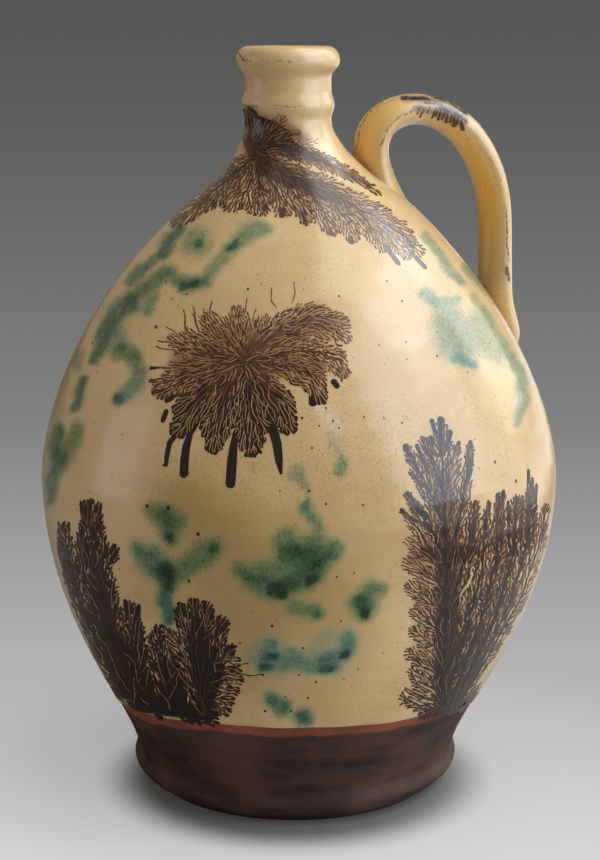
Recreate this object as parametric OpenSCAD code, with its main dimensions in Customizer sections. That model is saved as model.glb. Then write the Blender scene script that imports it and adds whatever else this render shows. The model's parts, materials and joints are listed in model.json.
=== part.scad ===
// Narrow-necked earthenware jug with one strap handle, coated with slip above the foot.
// Millimetres, +Z up, origin in the middle of the resting face. The handle stands towards +X.

/* [Foot] */
// Radius of the flat resting face
rest_r = 68.5; // [64:0.5:72]
// Radius of the spread toe at its widest line
toe_r = 78.5; // [76:0.5:84]
// Height of the toe's widest line
toe_z = 10.5; // [7:0.5:13]
// Radius of the groove above the toe
groove_r = 77; // [74:0.5:80]
// Height of the groove above the resting face
groove_z = 17; // [15:0.5:22]
// Radius of the floor disc inside the foot
disc_r = 58; // [48:1:62]
// Thickness of the floor
floor_t = 10; // [7:0.5:12]

/* [Belly] */
// Radius at the widest line
belly_r = 122; // [105:1:140]
// Height from the groove to the widest line
lower_h = 133; // [110:1:160]
// Outward lean of the wall above the groove, in degrees
lower_lean = 9; // [0:1:25]
// How far the lean is felt above the groove
lower_pull = 24; // [12:1:40]
// How far the upright stretch reaches below the widest line
lower_fullness = 66; // [40:1:80]
// Thickness of the thrown wall
wall = 8; // [5:0.5:10]

/* [Shoulder] */
// Height from the widest line to the end of the shoulder
shoulder_h = 137; // [115:1:160]
// Radius at the end of the shoulder
shoulder_r = 39.5; // [34:0.5:48]
// Inward lean at the end of the shoulder, in degrees
shoulder_lean = 53; // [45:1:60]
// How far the upright stretch reaches above the widest line
upper_fullness = 30; // [20:1:45]
// How far the lean is felt below the end of the shoulder
shoulder_pull = 74; // [55:1:85]

/* [Neck] */
// Height from the end of the shoulder to the foot of the raised ring
throat_h = 30; // [24:1:40]
// Radius of the neck
neck_r = 19; // [17:0.5:24]
// Radius of the mouth's bore, for a cork
bore_r = 13; // [9:0.5:14]
// Height of the neck, from the foot of the raised ring to the top of the clay
neck_h = 32.3; // [29:0.1:45]
// Height of the raised ring
ring_h = 13; // [9:0.5:14]
// How far the raised ring stands out
ring_out = 1.5; // [0.5:0.1:2.5]

/* [Lip] */
// Radius of the rolled lip
lip_r = 22.9; // [21:0.1:28]
// Height of the rolled lip
lip_h = 14; // [10:0.5:15]
// Height of the round at the lip's top edge
lip_round_h = 5.5; // [4:0.5:7]
// Width of the round at the lip's top edge
lip_round_w = 5; // [3:0.5:6]
// Wall of the neck inside the rolled lip
lip_core = 5.2; // [4:0.1:5.5]
// Round of the mouth's inner edge
mouth_round = 2.5; // [1:0.5:3]

/* [Slip] */
// Thickness of the slip coat
slip_t = 0.7; // [0.4:0.1:1.2]
// Height of the coat's lower edge above the resting face
slip_z = 48; // [30:1:70]

/* [Handle] */
// Width of the strap
strap_w = 28; // [20:1:36]
// Thickness of the strap
strap_t = 14.5; // [10:0.5:18]
// Height of the top root above the widest line
top_root_up = 137; // [125:1:142]
// Height of the arch above the top root
arch_rise = 33; // [24:1:45]
// Distance of the arch's top out from the top root
arch_out = 16.5; // [12:0.5:24]
// Height of the bottom root above the widest line
bottom_root_up = 64; // [50:1:75]
// How far the bottom root's centre stands off the body
bottom_root_off = 2.5; // [1:0.5:5]
// How far the upright grip stands inside the bottom root
grip_in = 4; // [0:0.5:8]
// Drop from the arch's top to the upright grip
arch_drop = 58; // [45:1:65]
// Spread of the top root, as a share of the strap's section
top_spread = 1.3; // [1.1:0.05:1.5]
// Swelling of the bottom root, as a share of the strap's section
bottom_spread = 1.12; // [1:0.02:1.3]

/* [Hidden] */
$fn = 128;

clay_colour = "#6b3a2a";
slip_colour = "#d8b56f";

// Steps along one curve of the body, and along the quarter rounds
curve_steps = 14;
round_steps = 6;

// Pull of the small curves at the foot and the lip
foot_pull = 4;
groove_pull = 2.5;
lip_pull = 4;
throat_pull_low = 6;
throat_pull_high = 13;

// Heights of the main lines
belly_z = groove_z + lower_h;
shoulder_z = belly_z + shoulder_h;
neck_z = shoulder_z + throat_h;
top_z = neck_z + neck_h;
lip_z = top_z - lip_h;
lip_wide_z = top_z - lip_round_h;
core_r = bore_r + lip_core;

// Point at t on a cubic curve with four control points
function cubic(a, b, c, d, t) =
    pow(1 - t, 3) * a + 3 * pow(1 - t, 2) * t * b + 3 * (1 - t) * t * t * c + pow(t, 3) * d;

function curve(a, b, c, d, n = curve_steps) = [for (i = [0:n]) cubic(a, b, c, d, i / n)];

function without_first(list) = [for (i = [1:1:len(list) - 1]) list[i]];

function reversed(list) = [for (i = [len(list) - 1:-1:0]) list[i]];

// Unit vector that leans outwards from upright by an angle
function leaning(angle) = [sin(angle), cos(angle)];

function along(list, i) = list[min(i + 1, len(list) - 1)] - list[max(i - 1, 0)];

// Outward normal across a heading
function across(heading) = [heading[1], -heading[0]] / norm(heading);

// Outward normal of an outline that runs upwards
function outward(list, i) = across(along(list, i));

// Inside of a wall whose outline has known headings and thicknesses at its two ends
function inside(list, head, tail, first, last) =
    let (n = len(list) - 1)
        [for (i = [0:n])
            let (heading = i == 0 ? head : i == n ? tail : along(list, i))
                list[i] - across(heading) * (first + (last - first) * i / n)];

// Headings of the outline where the pieces meet
upright = [0, 1];
groove_heading = leaning(lower_lean);
shoulder_heading = leaning(-shoulder_lean);

// Outline of the clay, from the resting face to the mouth, as radius and height
toe_line = curve([rest_r, 0], [rest_r + foot_pull, 0.8 * foot_pull], [toe_r, toe_z - foot_pull],
                 [toe_r, toe_z], round_steps);
groove_line = curve([toe_r, toe_z], [toe_r, toe_z + groove_pull],
                    [groove_r, groove_z] - groove_pull * groove_heading,
                    [groove_r, groove_z], round_steps);
lower_line = curve([groove_r, groove_z], [groove_r, groove_z] + lower_pull * groove_heading,
                   [belly_r, belly_z - lower_fullness], [belly_r, belly_z]);
upper_line = curve([belly_r, belly_z], [belly_r, belly_z + upper_fullness],
                   [shoulder_r, shoulder_z] - shoulder_pull * shoulder_heading,
                   [shoulder_r, shoulder_z]);
throat_line = curve([shoulder_r, shoulder_z],
                    [shoulder_r, shoulder_z] + throat_pull_low * shoulder_heading,
                    [neck_r, neck_z - throat_pull_high], [neck_r, neck_z]);
ring_line = [for (i = [0:curve_steps])
    let (t = i / curve_steps) [neck_r + ring_out * (1 - cos(360 * t)) / 2, neck_z + ring_h * t]];
lip_line = curve([neck_r, lip_z], [neck_r, lip_z + lip_pull], [lip_r, lip_wide_z - lip_pull],
                 [lip_r, lip_wide_z], round_steps);
lip_top_line = [for (i = [0:round_steps])
    let (a = 90 * i / round_steps)
        [lip_r - lip_round_w * (1 - cos(a)), lip_wide_z + lip_round_h * sin(a)]];
mouth_line = [for (i = [0:round_steps])
    let (a = 90 * i / round_steps)
        [bore_r + mouth_round * (1 - sin(a)), top_z - mouth_round * (1 - cos(a))]];

// Inside of the wall
lower_in = inside(lower_line, groove_heading, upright, wall, wall);
upper_in = inside(upper_line, upright, shoulder_heading, wall, wall);
throat_in = inside(throat_line, shoulder_heading, upright, wall, neck_r - bore_r);

// Whole outer line, for the form that the roots and the coat are fitted to
body_line = concat(toe_line, without_first(groove_line), without_first(lower_line),
                   without_first(upper_line), without_first(throat_line));
function body_r_at(z) = lookup(z, [for (p = body_line) [p[1], p[0]]]);

// Part of the outer line that the slip covers
slip_start = [body_r_at(slip_z), slip_z];
coat_line = concat([slip_start], [for (p = body_line) if (p[1] > slip_z + slip_t) p],
                   without_first(ring_line), lip_line, without_first(lip_top_line),
                   [mouth_line[0]]);
coat_out = concat([for (i = [0:len(coat_line) - 2]) coat_line[i] + slip_t * outward(coat_line, i)],
                  [mouth_line[0] + [0, slip_t]]);

// Centre line of the handle, as distance from the axis and height
top_root = [body_r_at(belly_z + top_root_up), belly_z + top_root_up];
arch_top = top_root + [arch_out, arch_rise];
bottom_root = [body_r_at(belly_z + bottom_root_up) + bottom_root_off, belly_z + bottom_root_up];
grip_top = [bottom_root[0] - grip_in, arch_top[1] - arch_drop];
grip_h = grip_top[1] - bottom_root[1];
handle_steps = 12;
rise_line = curve(top_root, top_root + [-0.22, 0.7] * arch_rise, arch_top - [0.8 * arch_out, 0],
                  arch_top, handle_steps);
fall_line = curve(arch_top, arch_top + [0.53 * (grip_top[0] - arch_top[0]), 0],
                  grip_top + [0, 0.6 * arch_drop], grip_top, handle_steps);
grip_line = curve(grip_top, grip_top - [0, grip_h / 3], bottom_root + [-grip_in / 3, grip_h / 3],
                  bottom_root, handle_steps);
// Stretch of each root inside the wall, so that the body's form cuts it to its seat
top_sink = top_root + [0.25, -1] * wall;
tuck_line = curve(bottom_root, bottom_root - [-0.1, 1] * 0.5 * strap_t,
                  bottom_root - [0.4, 1] * strap_t, bottom_root - [1.2, 1.05] * strap_t, round_steps);
// Steps of the rising and the falling end that belong to the roots
root_steps = 4;
strap_line = concat([for (i = [root_steps:handle_steps]) rise_line[i]], without_first(fall_line),
                    [for (i = [1:handle_steps - root_steps]) grip_line[i]]);
top_line = concat([top_sink], [for (i = [0:root_steps]) rise_line[i]]);
bottom_line = concat([for (i = [handle_steps - root_steps:handle_steps]) grip_line[i]],
                     without_first(tuck_line));

// Rounded section of the strap, turned to stand square on its centre line
section_sides = 24;
section_round = 0.85;
function rounded(v) = sign(v) * pow(abs(v), section_round);
function section(centre, heading, size) =
    let (out = across(heading))
        [for (k = [0:section_sides - 1])
            let (a = 360 * k / section_sides, p = centre + out * rounded(cos(a)) * size * strap_t / 2)
                [p[0], rounded(sin(a)) * size * strap_w / 2, p[1]]];

// Headings along the whole handle, so that neighbours share their end sections
rise_heading = along(rise_line, root_steps);
grip_heading = along(grip_line, handle_steps - root_steps);

// Solid through a row of closed rings with the same count of points
module through(rings) {
    n = len(rings[0]);
    last = len(rings) - 1;
    points = [for (ring = rings) each ring];
    sides = [for (i = [0:last - 1], k = [0:n - 1])
        let (a = i * n + k, b = i * n + (k + 1) % n) each [[a, a + n, b], [b, a + n, b + n]]];
    polyhedron(points = points, convexity = 6,
               faces = concat(sides, [[for (k = [0:n - 1]) k]],
                              [[for (k = [n - 1:-1:0]) last * n + k]]));
}

// Filled form of the clay body
module body_form() {
    rotate_extrude() polygon(concat([[0, 0]], body_line, [[0, neck_z]]));
}

module top_root_form() {
    last = len(top_line) - 1;
    through([for (i = [0:last])
        section(top_line[i], i == last ? rise_heading : along(top_line, i),
                top_spread + (1 - top_spread) * i / last)]);
}

module bottom_root_form() {
    last = len(bottom_line) - 1;
    through([for (i = [0:last])
        section(bottom_line[i], i == 0 ? grip_heading : along(bottom_line, i),
                1 + (bottom_spread - 1) * sin(180 * i / last))]);
}

// Floor of the jug
module base_disc() {
    color(clay_colour) cylinder(r = disc_r, h = floor_t);
}

// Toe that the jug stands on, around the floor
module foot_ring() {
    color(clay_colour) rotate_extrude()
        polygon(concat([[disc_r, 0]], toe_line, without_first(groove_line),
                       [lower_in[0], [disc_r, floor_t]]));
}

// Thrown wall from the groove to the widest line
module lower_wall() {
    color(clay_colour) rotate_extrude() polygon(concat(lower_line, reversed(lower_in)));
}

// Thrown wall from the widest line to the end of the shoulder
module upper_wall() {
    color(clay_colour) rotate_extrude() polygon(concat(upper_line, reversed(upper_in)));
}

// Throat, raised ring and mouth
module neck() {
    color(clay_colour) rotate_extrude()
        polygon(concat(throat_line, without_first(ring_line),
                       [[neck_r, lip_z], [core_r, lip_z], [core_r, top_z]], mouth_line,
                       reversed(throat_in)));
}

// Clay rolled outwards around the top of the neck
module lip_roll() {
    color(clay_colour) rotate_extrude()
        polygon(concat(lip_line, without_first(lip_top_line), [[core_r, top_z], [core_r, lip_z]]));
}

// Pulled strap between its two roots
module handle_strap() {
    last = len(strap_line) - 1;
    color(slip_colour) through([for (i = [0:last])
        section(strap_line[i],
                i == 0 ? rise_heading : i == last ? grip_heading : along(strap_line, i), 1)]);
}

// Upper end of the strap, spread on the shoulder
module handle_top_root() {
    color(slip_colour) difference() {
        top_root_form();
        body_form();
    }
}

// Lower end of the strap, pressed on the belly
module handle_bottom_root() {
    color(slip_colour) difference() {
        bottom_root_form();
        body_form();
    }
}

// Skin of slip over the clay, open where the roots are joined to the clay
module slip_coat() {
    color(slip_colour) difference() {
        rotate_extrude() polygon(concat(coat_line, reversed(coat_out)));
        top_root_form();
        bottom_root_form();
    }
}

base_disc();
foot_ring();
lower_wall();
upper_wall();
neck();
lip_roll();
handle_strap();
handle_top_root();
handle_bottom_root();
slip_coat();
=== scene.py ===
import json
import math

import bmesh
import bpy
import numpy as np
from mathutils import Matrix, Vector
from mathutils.bvhtree import BVHTree

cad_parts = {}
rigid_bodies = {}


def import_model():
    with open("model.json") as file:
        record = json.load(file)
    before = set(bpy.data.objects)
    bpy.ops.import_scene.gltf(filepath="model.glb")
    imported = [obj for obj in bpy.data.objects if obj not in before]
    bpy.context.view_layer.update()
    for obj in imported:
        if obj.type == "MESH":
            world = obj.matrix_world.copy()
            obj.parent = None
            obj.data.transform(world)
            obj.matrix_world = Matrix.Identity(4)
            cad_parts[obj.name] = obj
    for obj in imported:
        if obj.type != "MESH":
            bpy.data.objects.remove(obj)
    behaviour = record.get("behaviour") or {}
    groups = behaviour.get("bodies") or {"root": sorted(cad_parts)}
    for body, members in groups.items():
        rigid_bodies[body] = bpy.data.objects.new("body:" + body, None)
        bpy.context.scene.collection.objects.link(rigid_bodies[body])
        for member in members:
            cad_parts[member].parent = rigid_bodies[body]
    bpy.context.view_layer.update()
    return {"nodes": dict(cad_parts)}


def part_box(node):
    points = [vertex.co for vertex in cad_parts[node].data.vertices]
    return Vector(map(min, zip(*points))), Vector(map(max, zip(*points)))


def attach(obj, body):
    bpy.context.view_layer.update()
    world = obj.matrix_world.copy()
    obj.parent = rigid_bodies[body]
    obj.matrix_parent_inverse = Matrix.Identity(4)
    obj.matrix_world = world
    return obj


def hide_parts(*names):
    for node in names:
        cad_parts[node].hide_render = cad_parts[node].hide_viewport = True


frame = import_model()
print("frame loaded:", len(frame["nodes"]), "nodes")

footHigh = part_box("foot_ring")[1]
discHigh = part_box("base_disc")[1]
lowerLow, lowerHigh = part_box("lower_wall")
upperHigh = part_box("upper_wall")[1]
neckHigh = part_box("neck")[1]
lipLow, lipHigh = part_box("lip_roll")
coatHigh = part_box("slip_coat")[1]
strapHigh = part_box("handle_strap")[1]

# where the jug is seen from: metres, radians, and pixels of a 600 by 860 picture
lookOut = {
    "pixelsWide": 600,
    "pixelsHigh": 860,
    "focalPixels": 1924.6,
    "sensor": 36.0,  # millimetres, along the picture's height
    "distance": 0.9,  # from the jug's axis, over the floor
    "eyeHeight": 0.362,
    "dip": math.radians(12.05),
    "turn": math.radians(20.0),  # sends the handle back a little
    "aside": 0.0025,
    "searchNear": 0.16,  # how far this side of the axis the glaze is looked for, and beyond it
    "searchFar": 0.12,
}

upward = np.array([0.0, 0.0, 1.0])
ahead = np.array([math.sin(lookOut["turn"]), math.cos(lookOut["turn"]), 0.0])
rightward = np.array([math.cos(lookOut["turn"]), -math.sin(lookOut["turn"]), 0.0])
lensAxis = math.cos(lookOut["dip"]) * ahead - math.sin(lookOut["dip"]) * upward
lensUp = math.sin(lookOut["dip"]) * ahead + math.cos(lookOut["dip"]) * upward
eye = lookOut["aside"] * rightward - lookOut["distance"] * ahead + lookOut["eyeHeight"] * upward
frontAngle = math.atan2(-ahead[1], -ahead[0])  # round the jug's axis, facing the lens


def toPixels(points):
    offset = points - eye
    depth = offset @ lensAxis
    across = lookOut["pixelsWide"] / 2 + lookOut["focalPixels"] * (offset @ rightward) / depth
    down = lookOut["pixelsHigh"] / 2 - lookOut["focalPixels"] * (offset @ lensUp) / depth
    return np.stack([across, down], axis=-1)


def pixelRays(pixels):
    across = (pixels[:, 0] - lookOut["pixelsWide"] / 2) / lookOut["focalPixels"]
    down = (pixels[:, 1] - lookOut["pixelsHigh"] / 2) / lookOut["focalPixels"]
    return lensAxis + across[:, None] * rightward - down[:, None] * lensUp


def makeCamera():
    lens = bpy.data.cameras.new("photoLens")
    lens.sensor_fit = "VERTICAL"
    lens.sensor_height = lookOut["sensor"]
    lens.sensor_width = lookOut["sensor"]
    lens.lens = lookOut["focalPixels"] * lookOut["sensor"] / lookOut["pixelsHigh"]
    camera = bpy.data.objects.new("photoCamera", lens)
    bpy.context.scene.collection.objects.link(camera)
    turned = np.eye(4)
    turned[:3, 0], turned[:3, 1], turned[:3, 2], turned[:3, 3] = rightward, lensUp, -lensAxis, eye
    camera.matrix_world = Matrix(turned.tolist())
    bpy.context.scene.camera = camera


makeCamera()

# the thrown wall bare of slip, as radii and heights in metres
wallLine = {
    "restR": 0.0685,
    "toeR": footHigh.x,
    "toeZ": 0.0105,
    "footPull": 0.004,
    "footRise": 0.0032,
    "grooveR": 0.077,
    "grooveZ": lowerLow.z,
    "groovePull": 0.0025,
    "lowerLean": math.radians(9),
    "lowerPull": 0.024,
    "lowerFullness": 0.066,
    "bellyR": lowerHigh.x,
    "bellyZ": lowerHigh.z,
    "upperFullness": 0.03,
    "shoulderLean": math.radians(53),
    "shoulderPull": 0.074,
    "shoulderR": neckHigh.x,
    "shoulderZ": upperHigh.z,
    "throatHigh": 0.03,
    "throatPullLow": 0.006,
    "throatPullHigh": 0.013,
    "neckR": 0.019,
    "ringHigh": 0.013,
    "ringOut": 0.0015,
    "lipZ": lipLow.z,
    "lipR": lipHigh.x,
    "lipPull": 0.004,
    "lipRoundHigh": 0.0055,
    "lipRoundWide": 0.005,
    "topZ": neckHigh.z,
    "mouthRound": 0.0025,
    "boreR": 0.013,
    "wall": 0.008,
    "floorZ": discHigh.z,
    "floorCorner": 0.006,
    "slip": coatHigh.z - neckHigh.z,
    "curveSteps": 48,
    "flattest": 4,  # outward for each metre up, as far as the slope is followed
}


def bezier(start, startPull, endPull, end, count):
    t = np.linspace(0, 1, count)[:, None]
    ends = (1 - t) ** 3 * np.array(start) + t**3 * np.array(end)
    return ends + 3 * (1 - t) ** 2 * t * np.array(startPull) + 3 * (1 - t) * t**2 * np.array(endPull)


def runLengths(line):
    return np.concatenate([[0], np.cumsum(np.linalg.norm(np.diff(line, axis=0), axis=1))])


def pointsAlong(line, run, at):
    return np.stack([np.interp(at, run, line[:, 0]), np.interp(at, run, line[:, 1])], axis=-1)


def wallCurves(w):
    fine = w["curveSteps"]
    climb = np.array([math.sin(w["lowerLean"]), math.cos(w["lowerLean"])])
    fallIn = np.array([-math.sin(w["shoulderLean"]), math.cos(w["shoulderLean"])])
    toe = np.array([w["toeR"], w["toeZ"]])
    groove = np.array([w["grooveR"], w["grooveZ"]])
    belly = np.array([w["bellyR"], w["bellyZ"]])
    shoulder = np.array([w["shoulderR"], w["shoulderZ"]])
    throatTop = np.array([w["neckR"], w["shoulderZ"] + w["throatHigh"]])
    lipLowest = np.array([w["neckR"], w["lipZ"]])
    lipWidest = np.array([w["lipR"], w["topZ"] - w["lipRoundHigh"]])
    ringTurn = np.linspace(0, 1, fine // 2)
    ringBulge = w["ringOut"] * (1 - np.cos(2 * math.pi * ringTurn)) / 2
    quarter = np.linspace(0, math.pi / 2, fine // 4)
    return {
        "toe": bezier((w["restR"], 0), (w["restR"] + w["footPull"], w["footRise"]),
                      toe - [0, w["footPull"]], toe, fine // 3),
        "groove": bezier(toe, toe + [0, w["groovePull"]],
                         groove - w["groovePull"] * climb, groove, fine // 4),
        "lower": bezier(groove, groove + w["lowerPull"] * climb,
                        belly - [0, w["lowerFullness"]], belly, fine * 2),
        "upper": bezier(belly, belly + [0, w["upperFullness"]],
                        shoulder - w["shoulderPull"] * fallIn, shoulder, fine * 2),
        "throat": bezier(shoulder, shoulder + w["throatPullLow"] * fallIn,
                         throatTop - [0, w["throatPullHigh"]], throatTop, fine // 2),
        "ring": np.stack([w["neckR"] + ringBulge, throatTop[1] + w["ringHigh"] * ringTurn], axis=1),
        "lip": bezier(lipLowest, lipLowest + [0, w["lipPull"]],
                      lipWidest - [0, w["lipPull"]], lipWidest, fine // 3),
        "lipTop": np.stack([w["lipR"] - w["lipRoundWide"] * (1 - np.cos(quarter)),
                            lipWidest[1] + w["lipRoundHigh"] * np.sin(quarter)], axis=1),
    }


def joined(*lines):
    whole = np.concatenate(lines)
    steps = np.linalg.norm(np.diff(whole, axis=0), axis=1)
    return whole[np.concatenate([[True], steps > 1e-7])]


def offsetLine(line, amount):
    along = np.gradient(line, runLengths(line), axis=0)
    along /= np.linalg.norm(along, axis=1, keepdims=True)
    return line + amount * np.stack([along[:, 1], -along[:, 0]], axis=1)


curves = wallCurves(wallLine)
clayLine = joined(*curves.values())
coatLine = offsetLine(clayLine, wallLine["slip"])
coatSlope = np.gradient(coatLine[:, 0]) / np.gradient(coatLine[:, 1])
coatSlope = np.clip(coatSlope, -wallLine["flattest"], wallLine["flattest"])


def clayRadius(z):
    return np.interp(z, clayLine[:, 1], clayLine[:, 0])


def coatRadius(z):
    return np.interp(z, coatLine[:, 1], coatLine[:, 0])


# the hand's unevenness: turns round the jug, waves per metre up it, size in metres, start
unevenness = {
    "waves": [(1, 2.0, 0.00022, 0.4), (2, 3.1, 0.00030, 1.9), (3, 4.3, 0.00014, 4.0), (5, 7.0, 0.00006, 2.6)],
    "throwingRing": 0.0105,
    "throwingDepth": 0.00005,
    "throwingSlant": 0.8,
    "leanHeights": [0.0, 0.13, 0.25, 0.280, 0.318, 0.36],
    "leanAside": [0.0, 0.0016, 0.0013, 0.0023, -0.0028, -0.0028],
}


def eased(z, knots, values):
    knots, values = np.array(knots), np.array(values)
    span = np.clip(np.searchsorted(knots, z, side="right") - 1, 0, len(knots) - 2)
    t = np.clip((z - knots[span]) / (knots[span + 1] - knots[span]), 0, 1)
    return values[span] + (values[span + 1] - values[span]) * t * t * (3 - 2 * t)


def wallLean(z):
    return eased(z, unevenness["leanHeights"], unevenness["leanAside"])


def wallWobble(theta, z):
    u = unevenness
    rings = 2 * math.pi * z / u["throwingRing"] + u["throwingSlant"] * np.sin(theta)
    out = u["throwingDepth"] * np.sin(rings)
    for turns, rise, size, begin in u["waves"]:
        out = out + size * np.sin(turns * theta + 2 * math.pi * rise * z + begin)
    return out


def wallPoints(theta, z, radius):
    bent = radius + wallWobble(theta, z)
    upright = np.stack([bent * np.cos(theta), bent * np.sin(theta), z], axis=-1)
    return upright + wallLean(z)[..., None] * rightward


def glazeSlope(z):
    slope = np.interp(z, coatLine[:, 1], coatSlope)
    return slope, np.sqrt(1 + slope**2)


def glazePoints(theta, z, lift=0.0):
    slope, stretch = glazeSlope(z)
    return wallPoints(theta, z - lift * slope / stretch, coatRadius(z) + lift / stretch)


def glazeNormals(theta, z):
    slope, stretch = glazeSlope(z)
    return np.stack([np.cos(theta) / stretch, np.sin(theta) / stretch, -slope / stretch], axis=-1)


def wallAngles(points):
    upright = points - wallLean(points[..., 2])[..., None] * rightward
    return np.arctan2(upright[..., 1], upright[..., 0]), points[..., 2]


# follows each pixel's ray to the glaze; a pixel past the outline gives no point
def castOnGlaze(pixels, steps=64, halvings=14):
    rays = pixelRays(pixels)
    nearest = lookOut["distance"] - lookOut["searchNear"]
    farthest = lookOut["distance"] + lookOut["searchFar"]
    near = np.linspace(nearest, farthest, steps)

    def outside(t):
        points = eye + rays * t[:, None]
        theta, z = wallAngles(points)
        upright = points - wallLean(z)[:, None] * rightward
        return np.hypot(upright[:, 0], upright[:, 1]) - coatRadius(z) - wallWobble(theta, z)

    hit = np.full(len(pixels), np.nan)
    before = np.full(len(pixels), near[0])
    for t in near[1:]:
        now = np.full(len(pixels), t)
        fresh = np.isnan(hit) & (outside(now) < 0)
        hit[fresh] = t
        before = np.where(np.isnan(hit), now, before)
    low, high = before, np.where(np.isnan(hit), near[-1], hit)
    for turn in range(halvings):
        middle = (low + high) / 2
        inside = outside(middle) < 0
        high = np.where(inside, middle, high)
        low = np.where(inside, low, middle)
    points = eye + rays * high[:, None]
    return points, ~np.isnan(hit)


print("wall worked out, belly", round(float(coatRadius(wallLine["bellyZ"])) * 2000), "mm across")


# materials: small helpers first
def newMaterial(name):
    material = bpy.data.materials.new(name)
    material.use_nodes = True
    tree = material.node_tree
    shader = tree.nodes["Principled BSDF"]
    return material, tree, shader


def addNode(tree, kind, links=(), **settings):
    node = tree.nodes.new(kind)
    for key, value in settings.items():
        setattr(node, key, value)
    for socket, value in dict(links).items():
        if isinstance(value, bpy.types.NodeSocket):
            tree.links.new(value, node.inputs[socket])
        else:
            node.inputs[socket].default_value = value
    return node


def mixColours(tree, amount, first, second, blend="MIX"):
    node = addNode(tree, "ShaderNodeMix", data_type="RGBA", blend_type=blend)
    for socket, value in zip((node.inputs[0], node.inputs[6], node.inputs[7]), (amount, first, second)):
        if isinstance(value, bpy.types.NodeSocket):
            tree.links.new(value, socket)
        else:
            socket.default_value = value
    return node.outputs[2]


def noiseValue(tree, place, scale, detail=3.0, roughness=0.55):
    links = {"Vector": place, "Scale": scale, "Detail": detail, "Roughness": roughness}
    return addNode(tree, "ShaderNodeTexNoise", links).outputs["Fac"]


def mathValue(tree, operation, *values):
    return addNode(tree, "ShaderNodeMath", dict(enumerate(values)), operation=operation).outputs[0]


def product(tree, first, second):
    return mathValue(tree, "MULTIPLY", first, second)


def blended(tree, first, firstShare, second, secondShare):
    return mathValue(tree, "ADD", product(tree, first, firstShare), product(tree, second, secondShare))


def rangeValue(tree, value, fromLow, fromHigh, toLow=0.0, toHigh=1.0, smooth=True):
    kind = "SMOOTHSTEP" if smooth else "LINEAR"
    links = {"Value": value, "From Min": fromLow, "From Max": fromHigh, "To Min": toLow, "To Max": toHigh}
    return addNode(tree, "ShaderNodeMapRange", links, interpolation_type=kind).outputs["Result"]


def colourRamp(tree, value, stops):
    ramp = addNode(tree, "ShaderNodeValToRGB", {"Fac": value})
    marks = ramp.color_ramp.elements
    while len(marks) < len(stops):
        marks.new(1.0)
    for mark, (position, colour) in zip(marks, stops):
        mark.position = position
        mark.color = (*colour, 1.0)
    return ramp.outputs["Color"]


def attributeValue(tree, name):
    return addNode(tree, "ShaderNodeAttribute", attribute_name=name).outputs["Fac"]


def setFinish(tree, shader, colour, rough):
    tree.links.new(colour, shader.inputs["Base Color"])
    if isinstance(rough, bpy.types.NodeSocket):
        tree.links.new(rough, shader.inputs["Roughness"])
    else:
        shader.inputs["Roughness"].default_value = rough


def addBump(tree, shader, relief, look):
    links = {"Height": relief, "Strength": look["bump"], "Distance": look["bumpDeep"]}
    tree.links.new(addNode(tree, "ShaderNodeBump", links).outputs["Normal"], shader.inputs["Normal"])


def addCoat(shader, weight=0.25, rough=0.08):
    shader.inputs["Coat Weight"].default_value = weight
    shader.inputs["Coat Roughness"].default_value = rough


# colours of slip and glaze, and scales in lumps per metre
slipLook = {
    "deep": (0.59, 0.405, 0.188, 1),
    "pale": (0.74, 0.545, 0.295, 1),
    # painted warm bounce light for the handle's shaded sides
    "amber": (0.97, 0.58, 0.115, 1),
    "fleck": (0.48, 0.235, 0.045, 1),
    "crazeColour": (0.30, 0.185, 0.075, 1),
    "crazeGreen": (0.022, 0.050, 0.030, 1),
    "cloudScale": 16.0,
    "grainScale": 420.0,
    "speckled": 0.22,
    "crazeScale": 430.0,
    "crazeWidth": 0.06,
    "crazePatches": 22.0,
    "crazeShown": (0.06, 0.42),
    "brokenScale": 150.0,
    "dustScale": 650.0,
    # painted shade, darker and yellower, low on the belly
    "bellyShade": (0.40, 0.275, 0.10, 1),
    # painted pale reflection, right of the burst
    "paleGlint": (0.80, 0.76, 0.70, 1),
    "roughScale": 60.0,
    "roughLow": 0.16,
    "roughHigh": 0.26,
    "lumpScale": 130.0,
    "lumpHigh": 0.6,
    "crazeHigh": -0.12,
    "bump": 0.12,
    "bumpDeep": 0.0006,
    "greenStops": [
        (0.0, (0.20, 0.27, 0.095)),
        (0.45, (0.15, 0.235, 0.092)),
        (0.72, (0.11, 0.19, 0.080)),
        (0.86, (0.045, 0.100, 0.040)),
        (1.0, (0.010, 0.034, 0.014)),
    ],
    "blueStops": [
        (0.0, (0.12, 0.36, 0.28)),
        (0.35, (0.10, 0.31, 0.25)),
        (0.65, (0.055, 0.20, 0.165)),
        (1.0, (0.018, 0.05, 0.042)),
    ],
    "greenFull": 0.75,
    "greenBroken": 0.45,
    "greenDusty": 0.35,
    "wash": (0.125, 0.050, 0.024, 1),
    "washShown": (0.7, 1.1),
    "stain": (0.012, 0.009, 0.008, 1),
    "stainBroken": 0.5,
    "stainDusty": 0.5,
    # for rubbed edges and the painted crease shade at the handle's top root
    "wearAndCreaseShade": (0.045, 0.028, 0.018, 1),
    "wearShadeDusty": 1.3,
    "wearShadeMost": 0.85,
}


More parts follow.
